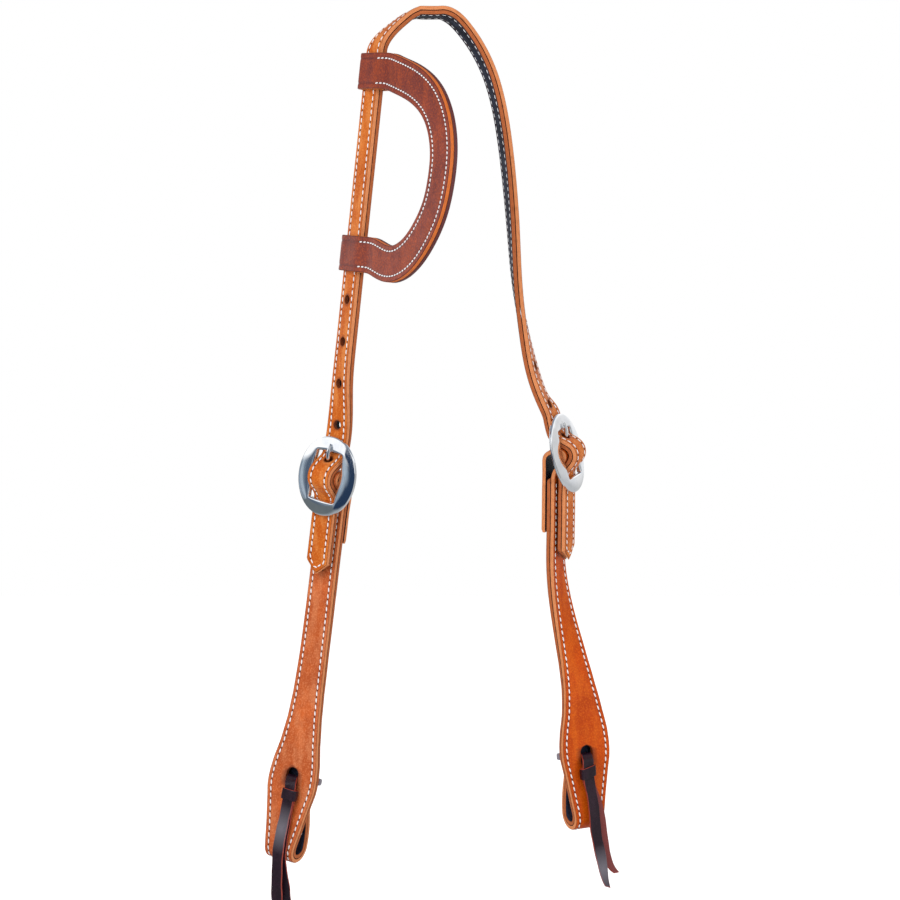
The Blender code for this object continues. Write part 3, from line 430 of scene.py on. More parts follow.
def ply_mesh(name, ply, columns, edge_line=None, end_round=0.0):
    """A closed leather ply with rounded edges, a sewing groove and a strap UV map."""
    rows = np.asarray(ply.rows)
    half = ply.half_width(rows)[:, None]
    edge, inset, share, height, rim, groove = (np.array(values)[None, :]
                                               for values in zip(*columns))
    zone = EDGE_ZONE if half.min() > EDGE_ZONE * ZONE_ROOM else half.min() * NARROW_ZONE
    across = np.where(edge == 0, share * (half - zone), edge * (half - inset))
    distance = np.repeat(rows[:, None], len(columns), axis=1)
    if edge_line is not None:
        distance = edge_line(distance, across)
    nearest = np.minimum(rows - rows[0], rows[-1] - rows)[:, None]
    if end_round > 0.0:
        fall = np.clip(1.0 - nearest / end_round, 0.0, 1.0)
        drop = end_round * (1.0 - np.sqrt(1.0 - fall ** 2))
        height = np.where(height > 0.0, height - drop, height)
    else:
        height = np.repeat(height, len(rows), axis=0)
    spots = spots_on(ply, distance, across, height)
    count_rows, count = across.shape
    base = np.arange(count_rows - 1)[:, None] * count
    here = np.arange(count)[None, :]
    after = (here + 1) % count
    quads = np.stack((base + here, base + after, base + count + after, base + count + here),
                     axis=2).reshape(-1, 4)
    faces = quads.tolist()
    faces.append(list(range(count)))
    faces.append(list(range((count_rows - 1) * count, count_rows * count)))
    mesh = bpy.data.meshes.new(name)
    mesh.from_pydata(spots.reshape(-1, 3).tolist(), [], faces)
    walk = np.concatenate(([0.0], np.cumsum(np.hypot(np.diff(across, axis=1),
                                                     np.diff(height, axis=1)).mean(axis=0))))
    map_u = distance.reshape(-1)
    map_v = np.repeat(walk[None, :], count_rows, axis=0).reshape(-1)
    corners = np.empty(len(mesh.loops), dtype=np.int32)
    mesh.loops.foreach_get("vertex_index", corners)
    layer = mesh.uv_layers.new(name="strap")
    layer.data.foreach_set("uv", np.stack((map_u[corners], map_v[corners]), axis=1)
                           .astype(np.float32).reshape(-1))
    add_values(mesh, "rim", np.maximum(rim, np.clip(1.0 - nearest / EDGE_ROUND, 0.0, 1.0)))
    add_values(mesh, "groove", np.repeat(groove, count_rows, 0))
    add_values(mesh, "flesh", height < -ply.thickness * FLESH_DEPTH)
    return face_outwards(mesh)


def add_object(name, mesh, *materials):
    thing = bpy.data.objects.new(name, mesh)
    bpy.context.scene.collection.objects.link(thing)
    for material in materials:
        mesh.materials.append(material)
    return thing


def frame_matrix(point, x_axis, y_axis, z_axis):
    matrix = Matrix.Identity(4)
    for column, axis in enumerate((x_axis, y_axis, z_axis, point)):
        for row in range(3):
            matrix[row][column] = axis[row]
    return matrix


def bake_modifiers(thing):
    """Turns the object, as its modifiers show it, into a plain mesh."""
    bpy.context.view_layer.update()
    evaluated = thing.evaluated_get(bpy.context.evaluated_depsgraph_get())
    mesh = bpy.data.meshes.new_from_object(evaluated)
    thing.modifiers.clear()
    thing.data = mesh
    return thing


def combine(thing, cutter_mesh, operation="DIFFERENCE"):
    """Cuts a mesh out of the object, or joins it on, and keeps the result."""
    tool = add_object(thing.name + "_tool", cutter_mesh)
    knife = thing.modifiers.new("Cut", "BOOLEAN")
    knife.operation = operation
    knife.solver = "EXACT"
    knife.object = tool
    bake_modifiers(thing)
    bpy.data.objects.remove(tool)


def smooth(thing, degrees=SHARP_DEGREES):
    """Shades the piece smooth, apart from edges that turn more than this."""
    thing.data.shade_smooth()
    thing.data.set_sharp_from_angle(angle=math.radians(degrees))


def punch_mesh(places, radius, depth):
    """Round punches through the strap, one at each place."""
    shape = bmesh.new()
    for point, heading, across, normal in places:
        bmesh.ops.create_cone(shape, cap_ends=True, segments=HOLE_STEPS, radius1=radius,
                              radius2=radius, depth=depth,
                              matrix=frame_matrix(point, heading, across, normal))
    bmesh.ops.recalc_face_normals(shape, faces=shape.faces)
    return end_mesh(shape, "punches")


def oblong_mesh(length, width, depth, matrix):
    """A slot's punch: an oblong with round ends."""
    half = (length - width) / 2
    shape = bmesh.new()
    outline = []
    for end in (-1, 1):
        for i in range(HOLE_STEPS // 2 + 1):
            angle = math.pi * i / (HOLE_STEPS // 2) - math.pi / 2
            outline.append(shape.verts.new((end * (half + math.cos(angle) * width / 2),
                                            end * math.sin(angle) * width / 2, -depth / 2)))
    grown = bmesh.ops.extrude_face_region(shape, geom=[shape.faces.new(outline)])
    tops = [item for item in grown["geom"] if isinstance(item, bmesh.types.BMVert)]
    bmesh.ops.translate(shape, verts=tops, vec=(0.0, 0.0, depth))
    bmesh.ops.transform(shape, matrix=matrix, verts=shape.verts)
    bmesh.ops.recalc_face_normals(shape, faces=shape.faces)
    return end_mesh(shape, "oblong")


def mark_wear_and_sheen(thing, distance_to_cut, reach):
    """Fills the wear attribute, from 1 at a cut's wall to 0 at reach beyond it; on the front tails
    the same attribute holds a painted highlight.
    """
    mesh = thing.data
    spots = np.empty(len(mesh.vertices) * 3)
    mesh.vertices.foreach_get("co", spots)
    gaps = distance_to_cut(spots.reshape(-1, 3))
    add_values(mesh, "wear", np.clip(1.0 - gaps / reach, 0.0, 1.0))


# Node trees
def new_group(name, tree_type, inputs, outputs):
    """A node group with named sockets, and its two end nodes."""
    tree = bpy.data.node_groups.new(name, tree_type)
    for label, kind, default in inputs:
        socket = tree.interface.new_socket(label, in_out="INPUT", socket_type=kind)
        if default is not None:
            socket.default_value = default
    for label, kind in outputs:
        tree.interface.new_socket(label, in_out="OUTPUT", socket_type=kind)
    start = tree.nodes.new("NodeGroupInput")
    end = tree.nodes.new("NodeGroupOutput")
    return tree, start, end


class Wires:
    """Short ways to add nodes to a tree and to wire them."""

    def __init__(self, tree):
        self.tree = tree

    def node(self, kind, inputs=None, **settings):
        made = self.tree.nodes.new(kind)
        for key, value in settings.items():
            setattr(made, key, value)
        for key, value in (inputs or {}).items():
            self.feed(made.inputs[key], value)
        return made

    def feed(self, socket, value):
        if isinstance(value, bpy.types.NodeSocket):
            self.tree.links.new(value, socket)
        else:
            socket.default_value = value

    def maths(self, operation, first, second=0.0, clamp=False):
        made = self.node("ShaderNodeMath", {0: first, 1: second}, operation=operation,
                         use_clamp=clamp)
        return made.outputs[0]

    def spread(self, value, low, high, to_low=0.0, to_high=1.0):
        made = self.node("ShaderNodeMapRange",
                         {0: value, 1: low, 2: high, 3: to_low, 4: to_high}, clamp=True)
        return made.outputs[0]

    def blend(self, share, first, second):
        made = self.node("ShaderNodeMix", data_type="RGBA", clamp_factor=True)
        self.feed(made.inputs[0], share)
        self.feed(made.inputs[6], first)
        self.feed(made.inputs[7], second)
        return made.outputs[2]

    def times(self, first, second):
        return self.maths("MULTIPLY", first, second)

    def layered(self, colour, *layers):
        """Lays each tint over the colour where its mask says."""
        for mask, tint in layers:
            colour = self.blend(mask, colour, tint)
        return colour

    def scaled(self, vector, factor):
        return self.node("ShaderNodeVectorMath", {0: vector, "Scale": factor},
                         operation="SCALE").outputs[0]

    def mapped(self, vector, scale, turn=(0.0, 0.0, 0.0)):
        return self.node("ShaderNodeMapping", {"Vector": vector, "Rotation": turn,
                                               "Scale": scale}).outputs[0]

    def noise(self, vector, scale, detail=4.0, roughness=0.55):
        made = self.node("ShaderNodeTexNoise", {"Vector": vector, "Scale": scale,
                                                "Detail": detail, "Roughness": roughness})
        return made.outputs[0]


def solid(colour):
    return (*colour, 1.0)


def group_hide_tone():
    """How a tanned hide varies: broad clouds, finer mottling and pressed smears."""
    tree, start, end = new_group(
        "hide tone", "ShaderNodeTree",
        (("Vector", "NodeSocketVector", None), ("Cloud Scale", "NodeSocketFloat", 30.0),
         ("Mottle Scale", "NodeSocketFloat", 160.0)),
        (("Cloud", "NodeSocketFloat"), ("Mottle", "NodeSocketFloat"),
         ("Smear", "NodeSocketFloat"), ("Speckle", "NodeSocketFloat")))
    wires = Wires(tree)
    place = start.outputs["Vector"]
    mottle_scale = start.outputs["Mottle Scale"]
    speckle = wires.noise(place, wires.times(mottle_scale, 6.0), 3.0, 0.7)
    cloud = wires.noise(place, start.outputs["Cloud Scale"], 3.0, 0.5)
    mottle = wires.noise(place, mottle_scale, 5.0, 0.65)
    slanted = wires.mapped(place, (1.0, 1.0, 0.28), (0.0, math.radians(35.0), 0.0))
    smear = wires.noise(slanted, mottle_scale, 2.0, 0.5)
    for label, pattern, low, high in (
            ("Cloud", cloud, 0.35, 0.65), ("Mottle", mottle, 0.36, 0.66),
            ("Smear", smear, 0.45, 0.62), ("Speckle", speckle, 0.38, 0.62)):
        wires.feed(end.inputs[label], wires.spread(pattern, low, high))
    return tree


def group_grain():
    """Leather grain: small cells with creases between them, and pores."""
    tree, start, end = new_group(
        "leather grain", "ShaderNodeTree",
        (("Vector", "NodeSocketVector", None), ("Cell Scale", "NodeSocketFloat", 1400.0),
         ("Pore Depth", "NodeSocketFloat", 0.5)),
        (("Height", "NodeSocketFloat"), ("Pores", "NodeSocketFloat")))
    wires = Wires(tree)
    place, scale = start.outputs["Vector"], start.outputs["Cell Scale"]
    cells = wires.node("ShaderNodeTexVoronoi", {"Vector": place, "Scale": scale},
                       feature="SMOOTH_F1")
    soft = wires.noise(place, wires.times(scale, 0.35), 4.0, 0.6)
    pores = wires.node("ShaderNodeTexVoronoi",
                       {"Vector": place, "Scale": wires.times(scale, 0.5)})
    pits = wires.spread(pores.outputs["Distance"], 0.0, 0.22, 1.0, 0.0)
    height = wires.maths("ADD", wires.times(cells.outputs["Distance"], 0.5), soft)
    height = wires.maths("SUBTRACT", height, wires.times(pits, start.outputs["Pore Depth"]))
    wires.feed(end.inputs["Height"], height)
    wires.feed(end.inputs["Pores"], pits)
    return tree


def group_cut_edge():
    """The cut edge of leather: long fibres along the strap, slicked in places."""
    tree, start, end = new_group(
        "cut edge", "ShaderNodeTree",
        (("Strap", "NodeSocketVector", None), ("Rim", "NodeSocketFloat", 0.0)),
        (("Amount", "NodeSocketFloat"), ("Fibres", "NodeSocketFloat")))
    wires = Wires(tree)
    stretched = wires.mapped(start.outputs["Strap"], (260.0, 2600.0, 1.0))
    fibres = wires.noise(stretched, 1.0, 4.0, 0.6)
    amount = wires.maths("ADD", start.outputs["Rim"],
                         wires.spread(fibres, 0.3, 0.7, -0.12, 0.12))
    wires.feed(end.inputs["Amount"], wires.spread(amount, 0.25, 0.6))
    wires.feed(end.inputs["Fibres"], wires.spread(fibres, 0.3, 0.7))
    return tree


def new_material(name):
    """A material, the wires of its tree, its shader and where a pattern stands on the piece."""
    material = bpy.data.materials.new(name)
    material.use_nodes = True
    wires = Wires(material.node_tree)
    shader = material.node_tree.nodes["Principled BSDF"]
    place = wires.node("ShaderNodeTexCoord").outputs["Object"]
    return material, wires, shader, place


def use_group(wires, tree, inputs):
    """Places a node group in the tree and feeds its inputs."""
    made = wires.node("ShaderNodeGroup")
    made.node_tree = tree
    for key, value in inputs.items():
        wires.feed(made.inputs[key], value)
    return made


def add_bump(wires, shader, strength, distance, height):
    bump = wires.node("ShaderNodeBump", {"Strength": strength, "Distance": distance,
                                         "Height": height})
    wires.feed(shader.inputs["Normal"], bump.outputs[0])


def leather_material(name, finish, groups):
    """Tanned leather: a mottled face, a grain, a darkened groove and fibrous cut edges."""
    material, wires, shader, place = new_material(name)
    strap = wires.node("ShaderNodeUVMap", uv_map="strap").outputs[0]
    rim, groove, wear, flesh = (
        wires.node("ShaderNodeAttribute", attribute_name=label).outputs["Fac"]
        for label in ("rim", "groove", "wear", "flesh"))
    tone = use_group(wires, groups["hide tone"], {"Vector": place}).outputs
    grain = use_group(wires, groups["leather grain"],
                      {"Vector": place, "Cell Scale": finish.grain}).outputs
    cut = use_group(wires, groups["cut edge"], {"Strap": strap, "Rim": rim}).outputs
    deep, pale, edge_deep = solid(finish.deep), solid(finish.pale), solid(finish.edge_deep)
    speckle = tone["Speckle"]
    fibre = wires.spread(cut["Fibres"], 0.5, 0.0, 0.0, 0.6)
    edge = wires.blend(fibre, solid(finish.edge), edge_deep)
    # A dark line runs where the face turns into the cut edge
    line = wires.times(wires.spread(rim, 0.04, 0.3), wires.spread(rim, 0.75, 0.45))
    colour = wires.layered(
        solid(finish.face),
        (wires.times(tone["Cloud"], finish.clouds), deep),
        (wires.times(tone["Mottle"], finish.mottle), deep),
        (wires.times(tone["Smear"], finish.smear), pale),
        (wires.times(speckle, finish.speckle), deep),
        (wires.times(wires.spread(speckle, 0.5, 0.0), finish.speckle), pale),
        (wires.times(grain["Pores"], 0.25), deep),
        (wires.times(groove, 0.45), edge_deep),
        (flesh, solid(finish.flesh)),
        (cut["Amount"], edge),
        (wires.times(line, finish.burnish), edge_deep),
        # The wear attribute: real wear at holes and slots, the toggle head's own grey, and on the
        # front tails a painted highlight
        (wires.times(wear, 0.85), solid(finish.worn)))
    wires.feed(shader.inputs["Base Color"], colour)
    rough = wires.spread(tone["Mottle"], 0.0, 1.0, finish.roughness - 0.05,
                         finish.roughness + 0.1)
    rough = wires.maths("ADD", rough, wires.times(cut["Amount"], 0.12))
    wires.feed(shader.inputs["Roughness"], rough)
    shader.inputs["Specular IOR Level"].default_value = finish.shine
    relief = wires.maths("ADD", grain["Height"],
                         wires.times(cut["Fibres"], wires.times(cut["Amount"], 1.2)))
    add_bump(wires, shader, 0.35, 0.00025, relief)
    return material


def steel_material(name):
    """Polished stainless steel with faint rubbing marks."""
    material, wires, shader, place = new_material(name)
    stretched = wires.mapped(place, (1.0, 1.0, 0.08), (0.3, 0.6, 0.2))
    marks = wires.noise(stretched, 2600.0, 3.0, 0.7)
    haze = wires.noise(place, 90.0, 4.0, 0.6)
    wires.feed(shader.inputs["Base Color"],
               wires.blend(wires.spread(haze, 0.4, 0.65, 0.0, 0.6), solid(ink(246, 247, 249)),
                           solid(ink(216, 221, 228))))
    shader.inputs["Metallic"].default_value = 1.0
    wires.feed(shader.inputs["Roughness"],
               wires.maths("ADD", wires.spread(marks, 0.45, 0.7, 0.05, 0.12),
                           wires.spread(haze, 0.4, 0.7, 0.0, 0.04)))
    add_bump(wires, shader, 0.12, 0.00004, marks)
    return material


def thread_material(name, colour, shade):
    """Twisted, fuzzy thread."""
    material, wires, shader, place = new_material(name)
    fuzz = wires.noise(place, 5200.0, 3.0, 0.7)
    wires.feed(shader.inputs["Base Color"],
               wires.blend(wires.spread(fuzz, 0.35, 0.65), solid(shade), solid(colour)))
    shader.inputs["Roughness"].default_value = 0.75
    add_bump(wires, shader, 0.5, 0.0001, fuzz)
    return material


# Sewing: one tree lays a mark at every step along a rail
def group_marks():
    """Lays a stretched ball at each step along a rail: a stitch, or a needle hole."""
    tree, start, end = new_group(
        "marks along a rail", "GeometryNodeTree",
        (("Rail", "NodeSocketGeometry", None), ("Pitch", "NodeSocketFloat", 0.004),
         ("Shift", "NodeSocketFloat", 0.0), ("Lift", "NodeSocketFloat", 0.0),
         ("Length", "NodeSocketFloat", 0.003), ("Width", "NodeSocketFloat", 0.0008),
         ("Height", "NodeSocketFloat", 0.0006), ("Slant", "NodeSocketFloat", 0.0),
         ("Unevenness", "NodeSocketFloat", 0.0), ("Material", "NodeSocketMaterial", None)),
        (("Geometry", "NodeSocketGeometry"),))
    wires = Wires(tree)
    given = start.outputs
    curve = wires.node("GeometryNodeMeshToCurve", {"Mesh": given["Rail"]})
    stepped = wires.node("GeometryNodeResampleCurve", {"Curve": curve.outputs[0],
                                                       "Length": given["Pitch"]}, mode="LENGTH")
    up = wires.node("GeometryNodeInputNamedAttribute", {"Name": "up"}, data_type="FLOAT_VECTOR")
    tangent = wires.node("GeometryNodeInputTangent")
    offset = wires.node("ShaderNodeVectorMath",
                        {0: wires.scaled(tangent.outputs[0], given["Shift"]),
                         1: wires.scaled(up.outputs[0], given["Lift"])}, operation="ADD")
    along = wires.node("FunctionNodeAlignRotationToVector", {"Vector": tangent.outputs[0]},
                       axis="X")
    upright = wires.node("FunctionNodeAlignRotationToVector",
                         {"Rotation": along.outputs[0], "Vector": up.outputs[0]}, axis="Z",
                         pivot_axis="X")
    uneven = wires.node("FunctionNodeRandomValue", {"Seed": 7}, data_type="FLOAT")
    wires.feed(uneven.inputs[2], wires.maths("SUBTRACT", 0.0, given["Unevenness"]))
    wires.feed(uneven.inputs[3], given["Unevenness"])
    slant = wires.maths("ADD", given["Slant"], uneven.outputs[1])
    turn = wires.node("ShaderNodeCombineXYZ", {"Z": slant})
    as_turn = wires.node("FunctionNodeEulerToRotation", {0: turn.outputs[0]})
    turned = wires.node("FunctionNodeRotateRotation", {"Rotation": upright.outputs[0],
                                                       "Rotate By": as_turn.outputs[0]},
                        rotation_space="LOCAL")
    moved = wires.node("GeometryNodeSetPosition", {"Geometry": stepped.outputs[0],
                                                   "Offset": offset.outputs[0]})
    ball = wires.node("GeometryNodeMeshUVSphere", {"Segments": 8, "Rings": 6, "Radius": 0.5})
    upended = wires.node("GeometryNodeTransform", {"Geometry": ball.outputs[0],
                                                   "Rotation": (0.0, math.pi / 2, 0.0)})
    sizes = wires.node("ShaderNodeCombineXYZ", {"X": given["Length"], "Y": given["Width"],
                                                "Z": given["Height"]})
    shaped = wires.node("GeometryNodeTransform", {"Geometry": upended.outputs[0],
                                                  "Scale": sizes.outputs[0]})
    laid = wires.node("GeometryNodeInstanceOnPoints",
                      {"Points": moved.outputs[0], "Instance": shaped.outputs[0],
                       "Rotation": turned.outputs[0]})
    real = wires.node("GeometryNodeRealizeInstances", {"Geometry": laid.outputs[0]})
    soft = wires.node("GeometryNodeSetShadeSmooth", {"Geometry": real.outputs[0]})
    dressed = wires.node("GeometryNodeSetMaterial", {"Geometry": soft.outputs[0],
                                                     "Material": given["Material"]})
    wires.feed(end.inputs[0], dressed.outputs[0])
    return tree


def rail_object(name, rails):
    """Loose edges along each rail, with the leather's outward direction at every point."""
    spots, ups, edges = [], [], []
    for line, up, closed in rails:
        base = len(spots)
        spots += line.tolist()
        ups += up.tolist()
        edges += [(base + i, base + i + 1) for i in range(len(line) - 1)]
        if closed:
            edges.append((base + len(line) - 1, base))
    mesh = bpy.data.meshes.new(name)
    mesh.from_pydata(spots, edges, [])
    layer = mesh.attributes.new("up", "FLOAT_VECTOR", "POINT")
    layer.data.foreach_set("vector", np.array(ups, dtype=np.float32).reshape(-1))
    return add_object(name, mesh)


def lay_marks(name, rails, settings):
    """A piece of thread or of needle holes, laid along the rails."""
    tree = LOOKS["marks"]
    thing = rail_object(name, rails)
    modifier = thing.modifiers.new("Marks", "NODES")
    modifier.node_group = tree
    for item in tree.interface.items_tree:
        if item.in_out == "INPUT" and item.name in settings:
            modifier[item.identifier] = settings[item.name]
    return bake_modifiers(thing)


def rail_on(ply, distances, across, closed=False):
    """A rail on the ply's face, at distances along it and places across it."""
    distances = np.asarray(distances, dtype=float)
    across = np.asarray(across, dtype=float)
    line = spots_on(ply, distances, across, ply.thickness / 2 - GROOVE_DEPTH)
    _, _, _, normal = strap_frame(ply.route, distances)
    return line, normal * ply.side, closed


# Stitches and needle holes, as shares of the thread's height and width and of the pitch
PROUD_LIFT, SUNK_DROP = 0.18, 0.35
SUNK_LENGTH, PROUD_LENGTH = 0.7, 0.3
HOLE_LIFT, HOLE_LENGTH, HOLE_WIDTH, HOLE_HEIGHT = 0.05, 0.30, 1.05, 0.5
FACE_PROUD, LINING_PROUD = 1.0, 0.7


def sew(name, body, rails, pitch, proud=FACE_PROUD):
    """Thread over a row of needle holes; a smaller proud share sinks it into the leather."""
    thread = bpy.context.scene.headstall_thread
    common = {"Pitch": pitch, "Unevenness": thread.unevenness, "Slant": thread.slant}
    stitches = lay_marks(name + "_stitches", rails, {
        **common, "Lift": thread.height * (PROUD_LIFT * proud - SUNK_DROP * (1.0 - proud)),
        "Length": pitch * thread.cover * (SUNK_LENGTH + PROUD_LENGTH * proud),
        "Width": thread.width * proud, "Height": thread.height, "Material": LOOKS["thread"]})
    holes = lay_marks(name + "_needle_holes", rails, {
        **common, "Shift": pitch / 2, "Lift": thread.height * HOLE_LIFT,
        "Length": pitch * HOLE_LENGTH, "Width": thread.width * HOLE_WIDTH,
        "Height": thread.height * HOLE_HEIGHT, "Material": LOOKS["needle hole"]})
    for piece in (stitches, holes):
        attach(piece, body)


def keep_piece(thing, body, slot, node, degrees=SHARP_DEGREES):
    """Shades a finished piece, and puts it on its body and in its node's place; its slot is not
    used.
    """
    smooth(thing, degrees)
    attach(thing, body)
    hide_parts(node)


# Property groups: what a user would change
class LeatherSettings(bpy.types.PropertyGroup):
    strap_face: FloatVectorProperty(
        name="Strap face", description="Colour of the golden strap leather", subtype="COLOR",
        default=ink(200, 102, 18))
    strap_deep: FloatVectorProperty(
        name="Strap shade", description="Colour of the strap's darker mottling", subtype="COLOR",
        default=ink(168, 72, 6))
    cheek_face: FloatVectorProperty(
        name="Right cheek face", description="Colour of the right cheek piece", subtype="COLOR",
        default=ink(198, 75, 0))
    worn_face: FloatVectorProperty(
        name="Left cheek face", description="Colour of the darker left cheek piece",
        subtype="COLOR", default=ink(202, 97, 42))
    edge: FloatVectorProperty(
        name="Cut edge", description="Colour of the natural cut edges", subtype="COLOR",
        default=ink(206, 130, 82))
    ear_face: FloatVectorProperty(
        name="Ear face", description="Colour of the chestnut ear piece", subtype="COLOR",
        default=ink(142, 60, 40))
    lining: FloatVectorProperty(
        name="Lining", description="Colour of the dyed flesh side", subtype="COLOR",
        default=ink(20, 25, 44))
    latigo: FloatVectorProperty(
        name="Latigo", description="Colour of the ties", subtype="COLOR",
        default=ink(30, 8, 26))
    latigo_edge: FloatVectorProperty(
        name="Latigo edge", description="Colour of the ties' raw edges", subtype="COLOR",
        default=ink(150, 54, 38))


class ThreadSettings(bpy.types.PropertyGroup):
    pitch: FloatProperty(
        name="Pitch", description="Distance from one stitch to the next", default=0.0040,
        min=0.001, unit="LENGTH", precision=4)
    ear_pitch: FloatProperty(
        name="Ear pitch", description="Stitch pitch on the ear piece", default=0.0028,
        min=0.001, unit="LENGTH", precision=4)
    cover: FloatProperty(
        name="Cover", description="Share of the pitch that the thread covers", default=0.74,
        min=0.2, max=1.0, subtype="FACTOR")
    width: FloatProperty(
        name="Thread width", description="Width of a stitch", default=0.00095, min=0.0002,
        unit="LENGTH", precision=5)
    height: FloatProperty(
        name="Thread height", description="Height of a stitch", default=0.0008, min=0.0002,
        unit="LENGTH", precision=5)
    slant: FloatProperty(
        name="Slant", description="How far each stitch leans from its row",
        default=math.radians(7.0), subtype="ANGLE")
    unevenness: FloatProperty(
        name="Unevenness", description="How far the lean varies", default=math.radians(3.0),
        subtype="ANGLE")
    colour: FloatVectorProperty(
        name="Thread", description="Colour of the waxed thread", subtype="COLOR",
        default=ink(240, 240, 240))


class BuckleSettings(bpy.types.PropertyGroup):
    dome: FloatProperty(
        name="Dome", description="How far the face falls from the window to the rim",
        default=0.0014, min=0.0, unit="LENGTH", precision=4)
    rim: FloatProperty(
        name="Rim", description="Height of the rounded rim", default=0.0012, min=0.0,
        unit="LENGTH", precision=4)
    steps: IntProperty(
        name="Steps", description="Steps round the casting", default=BUCKLE_STEPS, min=24)


class StageSettings(bpy.types.PropertyGroup):
    sky: FloatProperty(
        name="Sky", description="Strength of the even studio light", default=0.72, min=0.0)
    key: FloatProperty(
        name="Key lamp", description="Power of the large soft lamp", default=24.5, min=0.0,
        subtype="POWER")
    fill: FloatProperty(
        name="Fill lamp", description="Power of the fill lamp", default=8.0, min=0.0,
        subtype="POWER")
    card: FloatVectorProperty(
        name="Front card", description="What the polished steel mirrors in front",
        subtype="COLOR", default=ink(40, 58, 84))
    left_card: FloatVectorProperty(
        name="Left card", description="What the polished steel mirrors on the left",
        subtype="COLOR", default=ink(176, 190, 202))


# Crown strap
HOLE_WEAR = 0.0011
POINT_STEPS = 7


def crown_parts():
    """The crown strap's route, and where along it the holes are punched."""
    route = smooth_route(crown_knots())
    crest = len(HANG_SHARES) + len(HOLLOW_SHARES) + len(CREST_SHARES) // 2
    left_crest = route.stops[crest]
    right_crest = route.stops[len(route.stops) - 1 - crest]
    places = []
    for side, near, step in ((LEFT, left_crest + ARCH_REACH / 2, 1),
                             (RIGHT, right_crest - ARCH_REACH / 2, -1)):
        first = tongue_hole(route, side, near)
        places += [first + step * HOLE_SPACING * i for i in range(HOLE_COUNT)]
    return route, places


def pointed_ends(length):
    """Draws the strap's two ends in to a point, a little rounded."""
    def line(distance, across):
        half = STRAP_WIDTH / 2
        blunt = math.hypot(half, POINT_ROUND) - POINT_ROUND
        edge = POINT_LENGTH * (np.hypot(across, POINT_ROUND) - POINT_ROUND) / blunt
        low = np.clip(1.0 - distance / POINT_BLEND, 0.0, 1.0)
        high = np.clip(1.0 - (length - distance) / POINT_BLEND, 0.0, 1.0)
        return distance + edge * low - edge * high
    return line


def pointed_loop(route, inset):
    """Distances and places across for a row of stitches round the whole strap."""
    half = STRAP_WIDTH / 2
    lean = math.hypot(1.0, POINT_LENGTH / half)
    side = half - inset
    corner = POINT_LENGTH * side / half + inset * lean
    tip = inset * lean
    steps = np.arange(corner, route.length - corner, RAIL_SPACING)
    out = np.linspace(0.0, 1.0, POINT_STEPS)
    far = route.length - tip - (corner - tip) * out
    near = tip + (corner - tip) * out
    distances = np.concatenate((steps, far[::-1][1:], far[1:-1], steps[::-1],
                                near[::-1][1:], near[1:-1]))
    across = np.concatenate((np.full(len(steps), side), side * out[::-1][1:],
                             -side * out[1:-1], np.full(len(steps), -side),
                             -side * out[::-1][1:], side * out[1:-1]))
    return distances, across


def beyond_holes(spots, places):
    """How far each spot is from the wall of the nearest punched hole."""
    away = []
    for point, _, _, normal in places:
        across = spots - point
        along = across @ normal
        flat = np.linalg.norm(across - along[:, None] * normal, axis=1)
        away.append(flat + np.where(np.abs(along) > STRAP_THICKNESS, 1.0, 0.0))
    return np.min(away, axis=0) - HOLE_DIAMETER / 2


def even_width(width):
    return lambda distance: np.full(np.shape(distance), width / 2)


class HEADSTALL_OT_crown(bpy.types.Operator):
    """Makes the crown strap: two plies, punched holes and stitching all round"""
    bl_idname = "headstall.crown"
    bl_label = "Crown strap"

    def execute(self, context):
        route, holes = crown_parts()
        rows = rows_between(route, 0.0, route.length)
        half_width = even_width(STRAP_WIDTH)
        places = list(zip(*strap_frame(route, np.array(holes))))
        pitch = context.scene.headstall_thread.pitch
        for name, side, material, slot, proud in (
                ("crown_strap_outer", 1, "golden strap", "strap_leather", FACE_PROUD),
                ("crown_strap_lining", -1, "black lining", "lining_leather", LINING_PROUD)):
            ply = Ply(route, rows, half_width, side * PLY_STEP / 2, side, PLY)
            mesh = ply_mesh(name + "_leather", ply, strap_columns(), pointed_ends(route.length),
                            EDGE_ROUND)
            thing = add_object(name + "_leather", mesh, LOOKS[material])
            combine(thing, punch_mesh(places, HOLE_DIAMETER / 2, STRAP_THICKNESS + CUT_OVERRUN))
            mark_wear_and_sheen(thing, lambda spots: beyond_holes(spots, places), HOLE_WEAR)
            keep_piece(thing, "headstall", slot, name)
            distances, across = pointed_loop(route, GROOVE_INSET)
            sew(name, "headstall", [rail_on(ply, distances, across, True)], pitch, proud)
        return {"FINISHED"}


# Buckles
WINDOW_POWER = 16.0
# The casting's section from the window to the rim: share of the way, and drop below the top,
# then below the dome's foot, and at last the rise above the back
LIP = ((0.025, 0.0009), (0.065, 0.00042), (0.105, 0.00014), (0.14, 0.00003), (0.17, 0.0))
LIP_EDGE, LIP_FOOT = 0.0013, 0.0003
DOME_SHARES = (0.23, 0.30, 0.38, 0.48, 0.60, 0.72, 0.82, 0.90)
DOME_POWER = 1.9
RIM = ((0.955, -0.00005), (0.985, 0.0003), (0.998, 0.0007))
BACK = ((0.99, 0.0004), (0.96, 0.0001), (0.92, 0.0), (0.5, 0.0), (0.03, 0.0))
NOTCH_BEFORE, NOTCH_BEYOND = 0.003, 0.001
# The tongue's eye in degrees round the bar, its steps and the shank's, and its tip's wear
EYE_START, EYE_SWEEP = -208.0, 298.0
EYE_STEPS, SHANK_STEPS = 21, 15
TIP_WEAR, TIP_WEAR_POWER = 0.35, 6
WIRE_STEPS = 5
MERGE = 0.00001


def oval_radius(angle, wide, tall, power):
    """From the middle to the edge of a rounded oblong with these half sizes."""
    return ((np.abs(np.cos(angle)) / wide) ** power
            + (np.abs(np.sin(angle)) / tall) ** power) ** (-1.0 / power)


